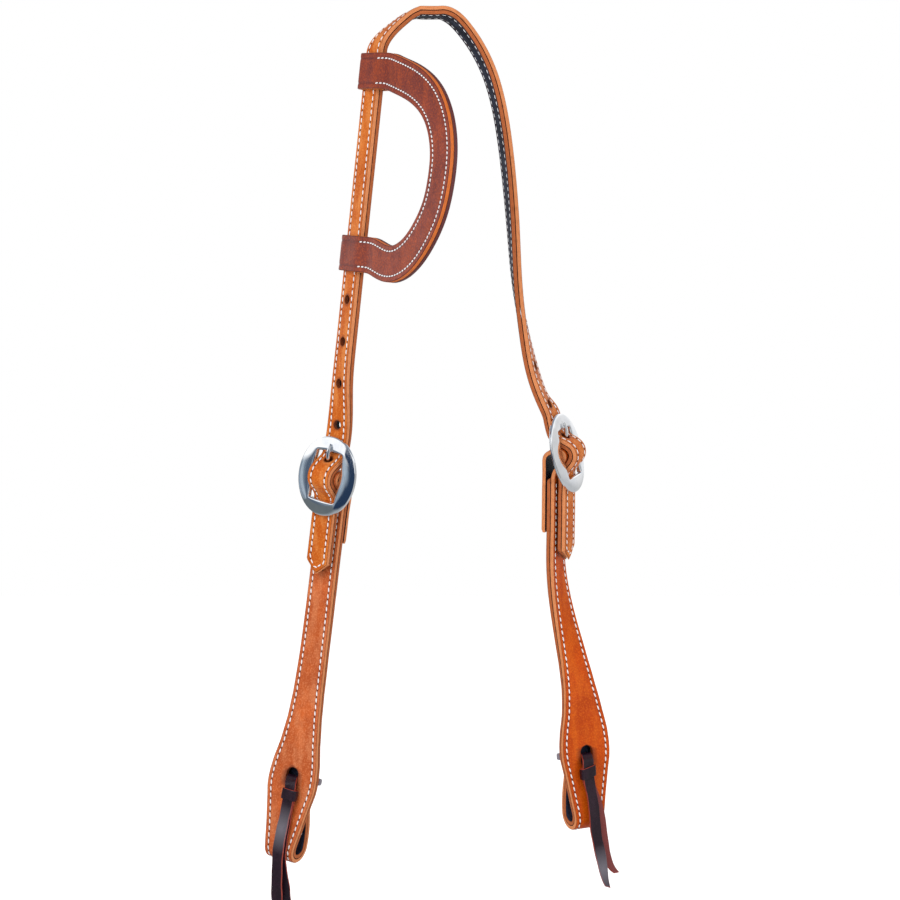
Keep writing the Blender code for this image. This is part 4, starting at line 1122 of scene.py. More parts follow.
def buckle_section(dome, rim):
    """The casting's section: share from window to outer rim, and height."""
    top = FRAME_THICKNESS / 2
    fall = top - dome
    lip_end = LIP[-1][0]
    points = [(0.0, -top + LIP_FOOT), (0.0, top - LIP_EDGE)]
    points += [(share, top - drop) for share, drop in LIP]
    points += [(share, top - dome * ((share - lip_end) / (1.0 - lip_end)) ** DOME_POWER)
               for share in DOME_SHARES]
    points += [(share, fall - drop) for share, drop in RIM]
    points.append((1.0, fall - rim))
    return points + [(share, -top + rise) for share, rise in BACK]


def round_bar(start, end, radius):
    """A round rod between two places, with capped ends."""
    start, end = Vector(start), Vector(end)
    axis = end - start
    turn = axis.to_track_quat("Z", "Y").to_matrix().to_4x4()
    shape = bmesh.new()
    bmesh.ops.create_cone(shape, cap_ends=True, segments=BAR_STEPS, radius1=radius,
                          radius2=radius, depth=axis.length,
                          matrix=Matrix.Translation((start + end) / 2) @ turn)
    return end_mesh(shape, "rod")


def tongue_mesh(side, name):
    """A wire bent into an eye round the bar, with a shank that ends in a worn tip."""
    spots, radii = [], []
    centre = buckle_point(side, 0.0, -BAR_SETBACK)
    for i in range(EYE_STEPS + 1):
        angle = math.radians(EYE_START + EYE_SWEEP * i / EYE_STEPS)
        spots.append(centre + side.along * EYE_RADIUS * math.sin(angle)
                     + side.outward * EYE_RADIUS * math.cos(angle))
        radii.append(TONGUE_RADIUS)
    route = smooth_route([knot(spot, side.across) for spot in tongue_line(side)[1:]])
    for distance in np.linspace(0.0, route.length, SHANK_STEPS + 1)[1:]:
        spots.append(route.point(distance)[:3])
        wear = TIP_WEAR * (distance / route.length) ** TIP_WEAR_POWER
        radii.append(TONGUE_RADIUS * (1.0 - wear))
    curve = bpy.data.curves.new(name, "CURVE")
    curve.dimensions = "3D"
    curve.bevel_depth = 1.0
    curve.bevel_resolution = WIRE_STEPS
    curve.use_fill_caps = True
    spline = curve.splines.new("POLY")
    spline.points.add(len(spots) - 1)
    for point, spot, radius in zip(spline.points, spots, radii):
        point.co = (*spot, 1.0)
        point.radius = radius
    made = bpy.data.objects.new(name, curve)
    bpy.context.scene.collection.objects.link(made)
    bpy.context.view_layer.update()
    mesh = bpy.data.meshes.new_from_object(
        made.evaluated_get(bpy.context.evaluated_depsgraph_get()))
    bpy.data.objects.remove(made)
    return face_outwards(mesh, MERGE)


class HEADSTALL_OT_buckles(bpy.types.Operator):
    """Makes the two oval cart buckles: casting, centre bar, tongue and its notch"""
    bl_idname = "headstall.buckles"
    bl_label = "Buckles"

    def execute(self, context):
        settings = context.scene.headstall_buckle
        section = buckle_section(settings.dome, settings.rim)
        angles = np.linspace(0.0, 2 * math.pi, settings.steps, endpoint=False)
        inner = oval_radius(angles, WINDOW_WIDTH / 2, WINDOW_HEIGHT / 2, WINDOW_POWER)
        outer = oval_radius(angles, FRAME_WIDTH / 2, FRAME_HEIGHT / 2, 2.0)
        radius = np.array([inner + (outer - inner) * share for share, _ in section]).T
        height = np.array([[z for _, z in section]] * len(angles))
        spots = np.stack((radius * np.cos(angles)[:, None], radius * np.sin(angles)[:, None],
                          height), axis=2).reshape(-1, 3).tolist()
        bar_reach = WINDOW_WIDTH / 2 + BAR_SEAT
        rest = FRAME_THICKNESS / 2 - NOTCH_DEPTH + NOTCH_RADIUS
        notch = (WINDOW_HEIGHT / 2 - NOTCH_BEFORE, WINDOW_HEIGHT / 2 + TONGUE_REST + NOTCH_BEYOND)
        for side in (LEFT, RIGHT):
            node = side.name + "_buckle_frame"
            mesh = ring_mesh(node + "_casting", spots, len(angles))
            mesh.transform(frame_matrix(side.centre, side.across, side.along, side.outward))
            thing = add_object(node + "_casting", mesh, LOOKS["steel"])
            ends = [buckle_point(side, 0.0, -BAR_SETBACK, way * bar_reach) for way in (-1, 1)]
            combine(thing, round_bar(*ends, BAR_RADIUS), "UNION")
            ends = [buckle_point(side, along, rest) for along in notch]
            combine(thing, round_bar(*ends, NOTCH_RADIUS))
            keep_piece(thing, "headstall", "polished_steel", node, CASTING_SHARP_DEGREES)
            node = side.name + "_buckle_tongue"
            thing = add_object(node + "_wire", tongue_mesh(side, node + "_wire"), LOOKS["steel"])
            keep_piece(thing, side.name + "_tongue", "polished_steel", node)
        return {"FINISHED"}


# Cheek pieces
LOOP_OUTER = LOOP_RADIUS + PLY + SEAM_GAP + PLY / 2
FLAP_BACK = PLY_STEP + PLY + RUNNING_GAP + PLY_STEP
BAR_WRAP = BAR_RADIUS + SEAM_GAP + PLY / 2
# The tie slot's punch ends between the flare and the flap, where the flap's slit starts
SLOT_FRONT = PLY / 2 + CUT_OVERRUN / 2
SLOT_FLOOR = -(PLY_STEP + PLY / 2 + RUNNING_GAP / 2)
SLIT_BACK = -(FLAP_BACK + PLY / 2 + CUT_OVERRUN / 2)
TAIL_SHARES = (1.0, 0.6, 0.2)
FOLD_BEND_SHARES = (1.0, 0.66, 0.33)
WRAP_DEGREES = (95.0, 75.0, 45.0, 15.0, -15.0, -40.0)
# Where the fold turns down behind the bar: degrees, and shares of the wrap's radius
FOLD_BACK_SHARES = ((169.0, 2.62), (151.0, 1.96), (124.0, 1.22))
LOWER_SHARES = (1.55, 1.0, 0.55, 0.2, 0.0)
LOOP_STEPS = 6
FLAP_SHARES = ((0.1, 0.97), (0.25, 0.75), (0.4, 0.34), (0.5, 0.10), (0.58, 0.01), (0.7, 0.0),
               (0.85, 0.0), (1.0, 0.0))
FLARE_SHARES = (
    (-0.3, 0.0), (0.0, 0.08), (0.37, 0.42), (0.69, 0.74), (0.88, 0.96), (1.0, 1.0), (1.12, 0.98),
    (1.32, 0.85), (1.6, 0.53), (2.0, 0.23), (2.4, 0.08), (3.0, 0.0))


def cheek_knots(side):
    """From the tail's end, up behind the bar, over it, down the front, round the loop and up."""
    def around_bar(radius, degrees):
        angle = math.radians(degrees)
        return buckle_point(side, radius * math.sin(angle),
                            radius * math.cos(angle) - BAR_SETBACK)

    fold_radius = ARCH_RADIUS + CHEEK_BACK
    taken = BILLET_SLACK - ARCH_SLACK
    spots = [hang_point(side, side.tail * share, -TAIL_BACK) for share in TAIL_SHARES]
    spots.append(hang_point(side, -TAIL_RISE, -TAIL_BACK))
    spots += [around_bar(BAR_WRAP * share, degrees) for degrees, share in FOLD_BACK_SHARES]
    spots += [around_bar(BAR_WRAP, degrees) for degrees in WRAP_DEGREES]
    spots += [buckle_point(side, *hollow_spot(fold_radius - taken * share, share))
              for share in FOLD_BEND_SHARES]
    lining_start = len(spots)
    spots += [hang_point(side, side.billet * share, -CHEEK_BACK)
              for share in (0.0, *reversed(HANG_SHARES))]
    knots = [knot(spot, side.across) for spot in spots]
    fold = len(knots) + len(LOWER_SHARES) - 1
    spots = [foot_point(side, FLARE_RISE * share, 0.0) for share in LOWER_SHARES]
    for i in range(1, LOOP_STEPS + 1):
        angle = math.pi * i / LOOP_STEPS
        spots.append(foot_point(side, -LOOP_OUTER * math.sin(angle),
                                -LOOP_OUTER * (1.0 - math.cos(angle))))
    for rise, back in FLAP_SHARES:
        inward = FLAP_BACK + (2 * LOOP_OUTER - FLAP_BACK) * back
        spots.append(foot_point(side, FLAP_RISE * rise, -inward))
    knots += [knot(spot, side.foot.across) for spot in spots]
    return knots, lining_start, fold


# The seams stop short of the plies' ends, and the lining's also stop at the bit loop
SEAM_END = 0.0040
LOOP_MARGIN = 0.0100
SLOT_WEAR = 0.0009


def cheek_width(fold_start, middle, fold_end):
    """Half the cheek's width along its route: the flare before the fold, the flap after it."""
    spread = (FLARE_WIDTH - CHEEK_WIDTH) / 2
    rises = [share for share, _ in FLARE_SHARES]
    widths = [share for _, share in FLARE_SHARES]

    def half_width(distance):
        distance = np.asarray(distance, dtype=float)
        share = np.clip((distance - middle) / (fold_end - middle), 0.0, 1.0)
        flap = (CHEEK_WIDTH + (FLAP_WIDTH - CHEEK_WIDTH) * share) / 2
        rise = (fold_start - distance) / FLARE_RISE
        flare = CHEEK_WIDTH / 2 + spread * np.interp(rise, rises, widths)
        return np.where(distance > middle, flap, flare)

    return half_width


def cheek_cutters(side):
    """The punches for the tie's slot in the flare, its slit in the flap, and the tongue."""
    foot = side.foot
    slot_centre = foot_point(side, side.slot_rise, (SLOT_FRONT + SLOT_FLOOR) / 2)
    tie_slot = oblong_mesh(SLOT_LENGTH, SLOT_WIDTH, SLOT_FRONT - SLOT_FLOOR,
                           frame_matrix(slot_centre, foot.along, -foot.across, foot.face))
    slit_centre = foot_point(side, side.slot_rise, (SLOT_FLOOR + SLIT_BACK) / 2)
    flap_slit = oblong_mesh(FLAP_SLIT_LENGTH, FLAP_SLIT_WIDTH, SLOT_FLOOR - SLIT_BACK,
                            frame_matrix(slit_centre, foot.across, foot.along, foot.face))
    tongue_slot = oblong_mesh(
        FOLD_SLOT_LENGTH, FOLD_SLOT_WIDTH, 2 * (EYE_RADIUS + TONGUE_RADIUS + BILLET_SLACK),
        frame_matrix(buckle_point(side, 0.0, -BAR_SETBACK), side.outward, side.across,
                     -side.along))
    return slot_centre, (tie_slot, flap_slit, tongue_slot)


def beyond_slot(spots, side, centre):
    """How far each spot is from the tie's slot in the flare; a metre more behind its floor."""
    foot = side.foot
    half = (SLOT_LENGTH - SLOT_WIDTH) / 2
    reach = spots - centre
    beyond = np.maximum(np.abs(reach @ foot.along) - half, 0.0)
    behind = reach @ foot.face < (SLOT_FLOOR - SLOT_FRONT) / 2
    return np.hypot(beyond, reach @ foot.across) - SLOT_WIDTH / 2 + behind


class HEADSTALL_OT_cheeks(bpy.types.Operator):
    """Makes the cheek pieces: folded round the bar, flared, and folded into the bit loops"""
    bl_idname = "headstall.cheeks"
    bl_label = "Cheek pieces"

    def execute(self, context):
        pitch = context.scene.headstall_thread.pitch
        for side in (LEFT, RIGHT):
            knots, lining_start, fold = cheek_knots(side)
            route = smooth_route(knots)
            fold_start, fold_end = route.stops[fold], route.stops[fold + LOOP_STEPS]
            half_width = cheek_width(fold_start, (fold_start + fold_end) / 2, fold_end)
            lined = route.stops[lining_start]
            seam = (lined + SEAM_END, route.length - SEAM_END)
            open_seams = ((seam[0], fold_start - LOOP_MARGIN), (fold_end + LOOP_MARGIN, seam[1]))
            slot_centre, cutters = cheek_cutters(side)
            for node, facing, offset, start, material, slot, punches, seams, proud in (
                    ("_cheek_outer", -1, 0.0, 0.0, side.name + " cheek", "strap_leather",
                     cutters, (seam,), FACE_PROUD),
                    ("_cheek_lining", 1, PLY_STEP, lined, "black lining", "lining_leather",
                     cutters[:2], open_seams, LINING_PROUD)):
                node = side.name + node
                rows = rows_between(route, start, route.length)
                ply = Ply(route, rows, half_width, offset, facing, PLY)
                mesh = ply_mesh(node + "_leather", ply, strap_columns(), None, EDGE_ROUND)
                thing = add_object(node + "_leather", mesh, LOOKS[material])
                for cutter in punches:
                    combine(thing, cutter)
                mark_wear_and_sheen(thing, lambda spots: beyond_slot(spots, side, slot_centre), SLOT_WEAR)
                keep_piece(thing, side.name + "_cheek", slot, node)
                rails = []
                for way in (-1, 1):
                    for low, high in seams:
                        sewn = np.arange(low, high, RAIL_SPACING)
                        rails.append(rail_on(ply, sewn, way * (half_width(sewn) - GROOVE_INSET)))
                sew(node, side.name + "_cheek", rails, pitch, proud)
        return {"FINISHED"}


# Ear piece
SLEEVE_SHARES = ((0.60, 0.93), (0.38, 1.0), (-0.25, 1.0))
CORNER_DEGREES = (0.0, 45.0, 90.0)
EAR_ARM_SHARES = (
    (0.28, -0.011, 86.0), (0.42, -0.038, 81.0), (0.62, -0.088, 70.0), (0.80, -0.170, 53.0),
    (0.935, -0.298, 30.0), (0.995, -0.432, 10.0), (1.00, -0.575, -4.0), (0.965, -0.715, -17.0),
    (0.87, -0.850, -34.0), (0.70, -0.980, -58.0), (0.50, -1.035, -82.0), (0.36, -1.023, -91.0),
    (0.27, -1.006, -91.0))


def ear_axes():
    """The ear piece's own axes on the left leg: its top, heading, width and face directions."""
    leg = leg_knots(-LEFT_REACH, LEFT_DEPTH, LEFT_DROP, LEFT_LEG_SHARES)
    low, high = leg[1], leg[2]
    middle = low + (high - low) * (-EAR_TOP - low[2]) / (high[2] - low[2])
    heading = unit(high[:3] - low[:3])
    across = squared(middle[3:], heading)
    return middle[:3], heading, across, np.cross(across, heading)


def ear_route(axes, wrapped):
    """The ear band, curved from the upper sleeve to the lower one; the lining has no sleeves."""
    point, heading, across, face = axes
    level = STRAP_THICKNESS / 2 + RUNNING_GAP + PLY / 2
    edge = STRAP_WIDTH / 2 + RUNNING_GAP + PLY / 2
    ply = PLY_STEP / 2 if wrapped else -PLY_STEP / 2

    def place(out, up, proud, lean):
        lean = math.radians(lean)
        return knot(point + across * out + heading * up + face * proud,
                    across * math.cos(lean) + heading * math.sin(lean))

    def sleeve(up, lean):
        back = [(EAR_SEAM, -PLY_STEP / 2)]
        back += [(STRAP_WIDTH * out, -level * proud) for out, proud in SLEEVE_SHARES]
        for degrees in CORNER_DEGREES:
            angle = math.radians(degrees)
            back.append((-edge + EAR_CORNER - EAR_CORNER * math.sin(angle),
                         -level + EAR_CORNER - EAR_CORNER * math.cos(angle)))
        front = [(out, -proud) for out, proud in reversed(back[1:])]
        return [place(out, up, proud, lean) for out, proud in (*back, *front)]

    arms = [place(x * EAR_REACH, y * EAR_DROP, ply, lean) for x, y, lean in EAR_ARM_SHARES]
    if wrapped:
        seams = [place(EAR_SEAM, 0.0, ply, 90.0), place(EAR_SEAM, -EAR_DROP, ply, -90.0)]
        lower = list(reversed(sleeve(-EAR_DROP, -90.0)))
        route = smooth_route([*sleeve(0.0, 90.0), seams[0], *arms, seams[1], *lower])
        return route, 0.0, route.length
    outs = (STRAP_WIDTH, EAR_SEAM + EAR_JOINT_GAP)
    upper = [place(out, 0.0, ply, 90.0) for out in outs]
    lower = [place(out, -EAR_DROP, ply, -90.0) for out in reversed(outs)]
    route = smooth_route([*upper, *arms, *lower])
    return route, route.stops[1], route.stops[-2]


class HEADSTALL_OT_ear_piece(bpy.types.Operator):
    """Makes the chestnut ear piece: a curved, doubled band with two sleeves"""
    bl_idname = "headstall.ear_piece"
    bl_label = "Ear piece"

    def execute(self, context):
        axes = ear_axes()
        point, _, across, face = axes
        for name, wrapped, side, material, behind in (
                ("ear_piece_front", True, -1, "chestnut", 0.0),
                ("ear_piece_lining", False, 1, "chestnut backing", -PLY_STEP)):
            route, start, end = ear_route(axes, wrapped)
            ply = Ply(route, rows_between(route, start, end), even_width(EAR_BAND), 0.0, side, PLY)
            mesh = ply_mesh(name + "_leather", ply, strap_columns(EAR_GROOVE_INSET), None,
                            EDGE_ROUND)
            thing = add_object(name + "_leather", mesh, LOOKS[material])
            keep_piece(thing, "ear_piece", "ear_leather", name)
            # The seam runs along the curved band only, and not round the sleeves
            fine = np.linspace(start, end, FINE_STEPS)
            spots = route.point(fine)[:, :3] - point
            band = fine[(spots @ across > EAR_THREAD_START) & (spots @ face > behind)]
            sewn = np.arange(band[0], band[-1], RAIL_SPACING)
            rails = [rail_on(ply, sewn,
                             np.full(len(sewn), way * (EAR_BAND / 2 - EAR_GROOVE_INSET)))
                     for way in (-1, 1)]
            sew(name, "ear_piece", rails, context.scene.headstall_thread.ear_pitch)
        return {"FINISHED"}


# Ties
WRAP_INNER_DEPTH = 2 * THONG_THICKNESS + 3 * SEAM_GAP
WRAP_STAND = PLY / 2 + SEAM_GAP
BACK_STRAND = WRAP_STAND + THONG_THICKNESS + SEAM_GAP + THONG_THICKNESS / 2
FRONT_STRAND = BACK_STRAND + THONG_THICKNESS + SEAM_GAP
THONG_SHARES = ((0.14, 0.0, 0.0), (-0.08, 0.5, 0.28), (-0.34, 0.93, 0.82), (-0.56, 1.0, 1.0),
                (-0.8, 1.0, 1.0), (-1.0, 1.0, 1.0))
# The tails' routes below each wrap, as in the frame: places, then the tip's width direction
TAILS = {
    "left_tie_tail_front": (
        ((-0.0866, 0.0234, -0.4714), (-0.0873, 0.0234, -0.4752), (-0.0893, 0.0234, -0.4850),
         (-0.0913, 0.02345, -0.4941), (-0.0933, 0.0233, -0.5064), (-0.0939, 0.0233, -0.5190),
         (-0.0941, 0.0234, -0.5297), (-0.0936, 0.0236, -0.5407), (-0.0928, 0.0239, -0.5550)),
        (0.92, -0.39, 0.0)),
    "left_tie_tail_back": (
        ((-0.0852, 0.0250, -0.4686), (-0.0861, 0.0250, -0.4733), (-0.0870, 0.0250, -0.4778),
         (-0.0884, 0.0254, -0.4854), (-0.0901, 0.0255, -0.4946), (-0.0918, 0.0259, -0.5056),
         (-0.0916, 0.0268, -0.5167), (-0.0903, 0.0276, -0.5265), (-0.0886, 0.0282, -0.5363),
         (-0.0867, 0.0286, -0.5412), (-0.0836, 0.0291, -0.5490)), (0.85, 0.50, 0.0)),
    "right_tie_tail_front": (
        ((0.0973, 0.0298, -0.4589), (0.0975, 0.02985, -0.4628), (0.0985, 0.0303, -0.4685),
         (0.1006, 0.0310, -0.4810), (0.1020, 0.0311, -0.4960), (0.1043, 0.0310, -0.5076),
         (0.1057, 0.0308, -0.5148), (0.1078, 0.0304, -0.5254), (0.1094, 0.0300, -0.5303)),
        (0.93, 0.30, 0.2)),
    "right_tie_tail_back": (
        ((0.0963, 0.0314, -0.4559), (0.0965, 0.0315, -0.4600), (0.0970, 0.0317, -0.4634),
         (0.0990, 0.0325, -0.4690), (0.1013, 0.0334, -0.4755), (0.1033, 0.0341, -0.4815),
         (0.1046, 0.0345, -0.4880), (0.1058, 0.0349, -0.4953), (0.1070, 0.0353, -0.5039),
         (0.1089, 0.0357, -0.5113), (0.1120, 0.0362, -0.5183), (0.1158, 0.0366, -0.5225)),
        (0.70, 0.55, 0.45)),
}
THONG_FACE_SHARES = (-0.8, -0.4, 0.0, 0.4, 0.8)
THONG_CORNER, CORNER_RIM = 0.22, 0.1
KNIFE_WOBBLE, KNIFE_WAVES = 0.05, (330.0, 127.0)
TOGGLE_ROUND, TOGGLE_ROUND_STEPS = 0.3, 4
TIP_TURN_POWER = 3
CORD_POINTS = 40
# The wrap's section from its bore outwards: share of its wall, and rise from its middle
WRAP_SECTION = (
    (0.0, -1.0), (0.12, -1.0), (0.86, -0.985), (1.0, -0.93), (1.0, -0.6), (1.0, -0.2),
    (1.0, 0.2), (1.0, 0.6), (1.0, 0.93), (0.86, 0.985), (0.12, 1.0), (0.0, 1.0))
WRAP_TILTS = {"left": -0.03, "right": 0.24}
WRAP_SWELL = 0.04
BORE_POWER, WRAP_POWER = 7.0, 4.5
RAW_RISE = 0.95
# Painted highlight: a pale sheen painted where a front tail's waxed face catches the light, how
# far from there, and how faintly
SHEENS = {
    "left_tie_tail_front": (-0.0912, 0.0234, -0.4920),
    "right_tie_tail_front": (0.1064, 0.0306, -0.5185),
}
SHEEN_REACH = 0.0120
SHEEN_FAINT = 0.7


def thong_columns():
    """A thin strip's section: small rounded corners and a flat face."""
    top = THONG_THICKNESS / 2
    corner = THONG_THICKNESS * THONG_CORNER
    half = [Column(1, corner, 0.0, -top, CORNER_RIM), Column(1, 0.0, 0.0, -top + corner, 1.0),
            Column(1, 0.0, 0.0, top - corner, 1.0), Column(1, corner, 0.0, top, CORNER_RIM)]
    return closed_section(half, THONG_FACE_SHARES, THONG_FACE_SHARES, top)


def thong_piece(name, route, is_tail, facing=-1):
    """A strip along its route; a tail has hand-cut edges and narrows to a slanted tip."""
    def half_width(distance):
        distance = np.asarray(distance, dtype=float)
        taper = np.clip(1.0 - (route.length - distance) / TIP_TAPER, 0.0, 1.0) * is_tail
        knife = 1.0 + (KNIFE_WOBBLE * is_tail * np.sin(distance * KNIFE_WAVES[0])
                       * np.sin(distance * KNIFE_WAVES[1]))
        return (THONG_WIDTH + (TIP_WIDTH - THONG_WIDTH) * taper) / 2 * knife

    def tip(distance, across):
        near = np.clip(1.0 - (route.length - distance) / (2 * TIP_SLANT), 0.0, 1.0)
        return distance - near * (0.5 - across / TIP_WIDTH) * TIP_SLANT

    rows = rows_between(route, 0.0, route.length, THONG_SPACING)
    ply = Ply(route, rows, half_width, 0.0, facing, THONG_THICKNESS)
    mesh = ply_mesh(name, ply, thong_columns(), tip if is_tail else None)
    return add_object(name, mesh, LOOKS["latigo"])


def rounded_block(sizes, rounding, matrix):
    """A block with rounded edges, for the toggle behind the flap."""
    shape = bmesh.new()
    bmesh.ops.create_cube(shape, size=1.0)
    bmesh.ops.scale(shape, vec=sizes, verts=shape.verts)
    bmesh.ops.bevel(shape, geom=shape.edges[:], offset=rounding, segments=TOGGLE_ROUND_STEPS,
                    profile=0.5, affect="EDGES")
    bmesh.ops.transform(shape, matrix=matrix, verts=shape.verts)
    return end_mesh(shape, "block")


def wrap_mesh(side, name):
    """The tight turn of latigo round both strands: a band with rounded corners and raw rims."""
    foot = side.foot
    wide, deep = THONG_WIDTH / 2 + SEAM_GAP, WRAP_INNER_DEPTH / 2
    centre = foot_point(side, side.slot_rise - WRAP_DROP, WRAP_STAND + THONG_THICKNESS + deep,
                        side.tie_shift)
    spots, rims = [], []
    for i in range(WRAP_STEPS):
        angle = 2 * math.pi * i / WRAP_STEPS
        bore = oval_radius(angle, wide, deep, BORE_POWER)
        outside = oval_radius(angle, wide + WRAP_WALL, deep + WRAP_WALL, WRAP_POWER)
        for share, rise in WRAP_SECTION:
            radius = bore + (outside - bore) * share
            swell = 1.0 + WRAP_SWELL * math.cos(2 * angle) * (1 - rise * rise)
            across = math.cos(angle) * radius * (swell if share > 0.5 else 1.0)
            up = rise * WRAP_HEIGHT / 2 + WRAP_TILTS[side.name] * across
            spots.append(tuple(centre + foot.across * across
                               + foot.face * (math.sin(angle) * radius) + foot.along * up))
            rims.append(1.0 if rise > RAW_RISE else 0.0)
    mesh = ring_mesh(name, spots, WRAP_STEPS)
    add_values(mesh, "rim", rims)
    return mesh


class HEADSTALL_OT_ties(bpy.types.Operator):
    """Makes the latigo ties: thong and toggle, wrap, and the two free tails of each side"""
    bl_idname = "headstall.ties"
    bl_label = "Ties"

    def execute(self, context):
        for side in (LEFT, RIGHT):
            foot = side.foot
            body = side.name + "_cheek"
            rear = -(FLAP_BACK + PLY / 2 + SEAM_GAP + TOGGLE_THICKNESS / 2)
            spots = [foot_point(side, side.slot_rise, rear),
                     foot_point(side, side.slot_rise, rear / 2)]
            for up, out, shift in THONG_SHARES:
                spots.append(foot_point(side, side.slot_rise + WRAP_DROP * up,
                                        FRONT_STRAND * out, side.tie_shift * shift))
            route = smooth_route([knot(spot, foot.across) for spot in spots])
            name = side.name + "_tie_thong"
            thong = thong_piece(name + "_strip", route, False)
            combine(thong, rounded_block(
                (TOGGLE_WIDTH, TOGGLE_HEIGHT, TOGGLE_THICKNESS), TOGGLE_THICKNESS * TOGGLE_ROUND,
                frame_matrix(spots[0], foot.across, foot.along, foot.face)), "UNION")
            behind = foot_point(side, side.slot_rise, rear + TOGGLE_THICKNESS)
            mark_wear_and_sheen(thong, lambda spots: (spots - behind) @ foot.face, TOGGLE_THICKNESS)
            keep_piece(thong, body, "latigo_leather", name)
            name = side.name + "_tie_wrap"
            wrap = add_object(name + "_band", wrap_mesh(side, name + "_band"), LOOKS["latigo"])
            keep_piece(wrap, body, "latigo_leather", name)
            for label in ("_tie_tail_front", "_tie_tail_back"):
                name = side.name + label
                points, tip_across = TAILS[name]
                last = len(points) - 1
                turn = np.array(tip_across) - foot.across
                route = smooth_route([knot(spot, foot.across + turn * (i / last) ** TIP_TURN_POWER)
                                      for i, spot in enumerate(points)])
                # The right back tail shows its flesh side
                facing = 1 if name == "right_tie_tail_back" else -1
                tail = thong_piece(name + "_strip", route, True, facing)
                # Painted highlight: the wear attribute, highest at the sheen's middle, tints the
                # front tails pale where they catch the light
                if name in SHEENS:
                    bright = np.array(SHEENS[name])
                    mark_wear_and_sheen(tail, lambda spots: SHEEN_FAINT * SHEEN_REACH
                              + np.linalg.norm(spots - bright, axis=1), 2 * SHEEN_REACH)
                keep_piece(tail, body, "latigo_leather", name)
                path = route.point(np.linspace(0.0, route.length, CORD_POINTS))[:, :3]
        return {"FINISHED"}


# Materials
class HEADSTALL_OT_materials(bpy.types.Operator):
    """Makes the leather, steel and thread materials and the stitching tree"""
    bl_idname = "headstall.materials"
    bl_label = "Materials"

    def execute(self, context):
        chosen = context.scene.headstall_leather
        groups = {"hide tone": group_hide_tone(), "leather grain": group_grain(),
                  "cut edge": group_cut_edge()}
        strap = Finish(
            chosen.strap_face, chosen.strap_deep, pale=ink(228, 148, 76), edge=chosen.edge,
            edge_deep=ink(112, 52, 26), worn=ink(92, 40, 22), flesh=chosen.lining, clouds=0.65,
            mottle=0.55, smear=0.45, speckle=0.3, burnish=0.8, roughness=0.42, grain=1500.0,
            shine=0.12)
        chestnut = Finish(
            chosen.ear_face, ink(98, 40, 34), pale=ink(178, 78, 26), edge=ink(204, 104, 36),
            edge_deep=ink(58, 26, 34), worn=ink(58, 26, 34), flesh=ink(150, 84, 52), clouds=0.8,
            mottle=0.6, smear=0.3, speckle=0.4, burnish=1.0, roughness=0.36, grain=1500.0,
            shine=0.25)
        finishes = {
            "golden strap": strap,
            "right cheek": strap._replace(
                face=chosen.cheek_face, deep=ink(158, 54, 0), pale=ink(214, 104, 20),
                worn=ink(84, 34, 18), clouds=0.6, mottle=0.6, smear=0.35, speckle=0.35,
                roughness=0.40, shine=0.1),
            "left cheek": strap._replace(
                face=chosen.worn_face, deep=ink(154, 67, 26), pale=ink(214, 136, 90),
                worn=ink(84, 36, 22), clouds=0.75, mottle=0.6, smear=0.4, speckle=0.35,
                roughness=0.45, grain=1300.0, shine=0.15),
            "black lining": strap._replace(
                face=chosen.lining, deep=ink(8, 9, 18), pale=ink(58, 68, 96),
                edge=ink(170, 92, 50), edge_deep=ink(60, 34, 26), worn=ink(20, 14, 14),
                clouds=0.4, mottle=0.5, roughness=0.6, grain=1100.0),
            "chestnut": chestnut,
            "chestnut backing": chestnut._replace(edge=ink(96, 46, 46)),
            # The latigo's worn tint is the toggle head's own grey, and also the painted highlight
            # on the front tails
            "latigo": Finish(
                chosen.latigo, ink(12, 4, 12), pale=ink(58, 34, 48), edge=chosen.latigo_edge,
                edge_deep=ink(70, 22, 20), worn=ink(132, 128, 138), flesh=ink(112, 46, 44),
                clouds=0.4, mottle=0.4, smear=0.25, speckle=0.2, burnish=0.3, roughness=0.3,
                grain=1900.0, shine=0.32),
        }
        for name, finish in finishes.items():
            LOOKS[name] = leather_material(name, finish, groups)
        LOOKS["marks"] = group_marks()
        LOOKS["steel"] = steel_material("polished steel")
        waxed = context.scene.headstall_thread.colour
        LOOKS["thread"] = thread_material("waxed thread", waxed, ink(206, 206, 210))
        LOOKS["needle hole"] = thread_material("needle hole", ink(96, 48, 30), ink(66, 32, 24))
        return {"FINISHED"}


# Stage: camera, floor, light and the cards that the steel mirrors
MIDDLE = (0.0, 0.0, -0.27)
SENSOR_WIDTH = 36.0
FLOOR_SIZE, FLOOR_GLOW = 4.0, 0.45
KEY_PLACE, KEY_SIZE = (-0.9, -1.6, 0.7), (1.2, 1.2)
FILL_PLACE, FILL_SIZE = (1.5, -1.0, -0.1), (1.0, 1.4)
CARD_RADIUS, CARD_SEGMENTS, CARD_RINGS = 0.345, 48, 24


def white_to_the_eye(wires):
    """One where a camera, glossy or transmission ray looks, and zero for other rays."""
    path = wires.node("ShaderNodeLightPath")
    seen = wires.maths("ADD", path.outputs["Is Camera Ray"], path.outputs["Is Glossy Ray"])
    return wires.maths("ADD", seen, path.outputs["Is Transmission Ray"], clamp=True)


def area_lamp(name, place, size, power):
    """A soft rectangular lamp that faces the headstall."""
    data = bpy.data.lights.new(name, "AREA")
    data.shape = "RECTANGLE"
    data.size, data.size_y = size
    data.energy = power
    lamp = bpy.data.objects.new(name, data)
    lamp.location = place
    facing = Vector(MIDDLE) - Vector(place)
    lamp.rotation_euler = facing.to_track_quat("-Z", "Y").to_euler()
    bpy.context.scene.collection.objects.link(lamp)


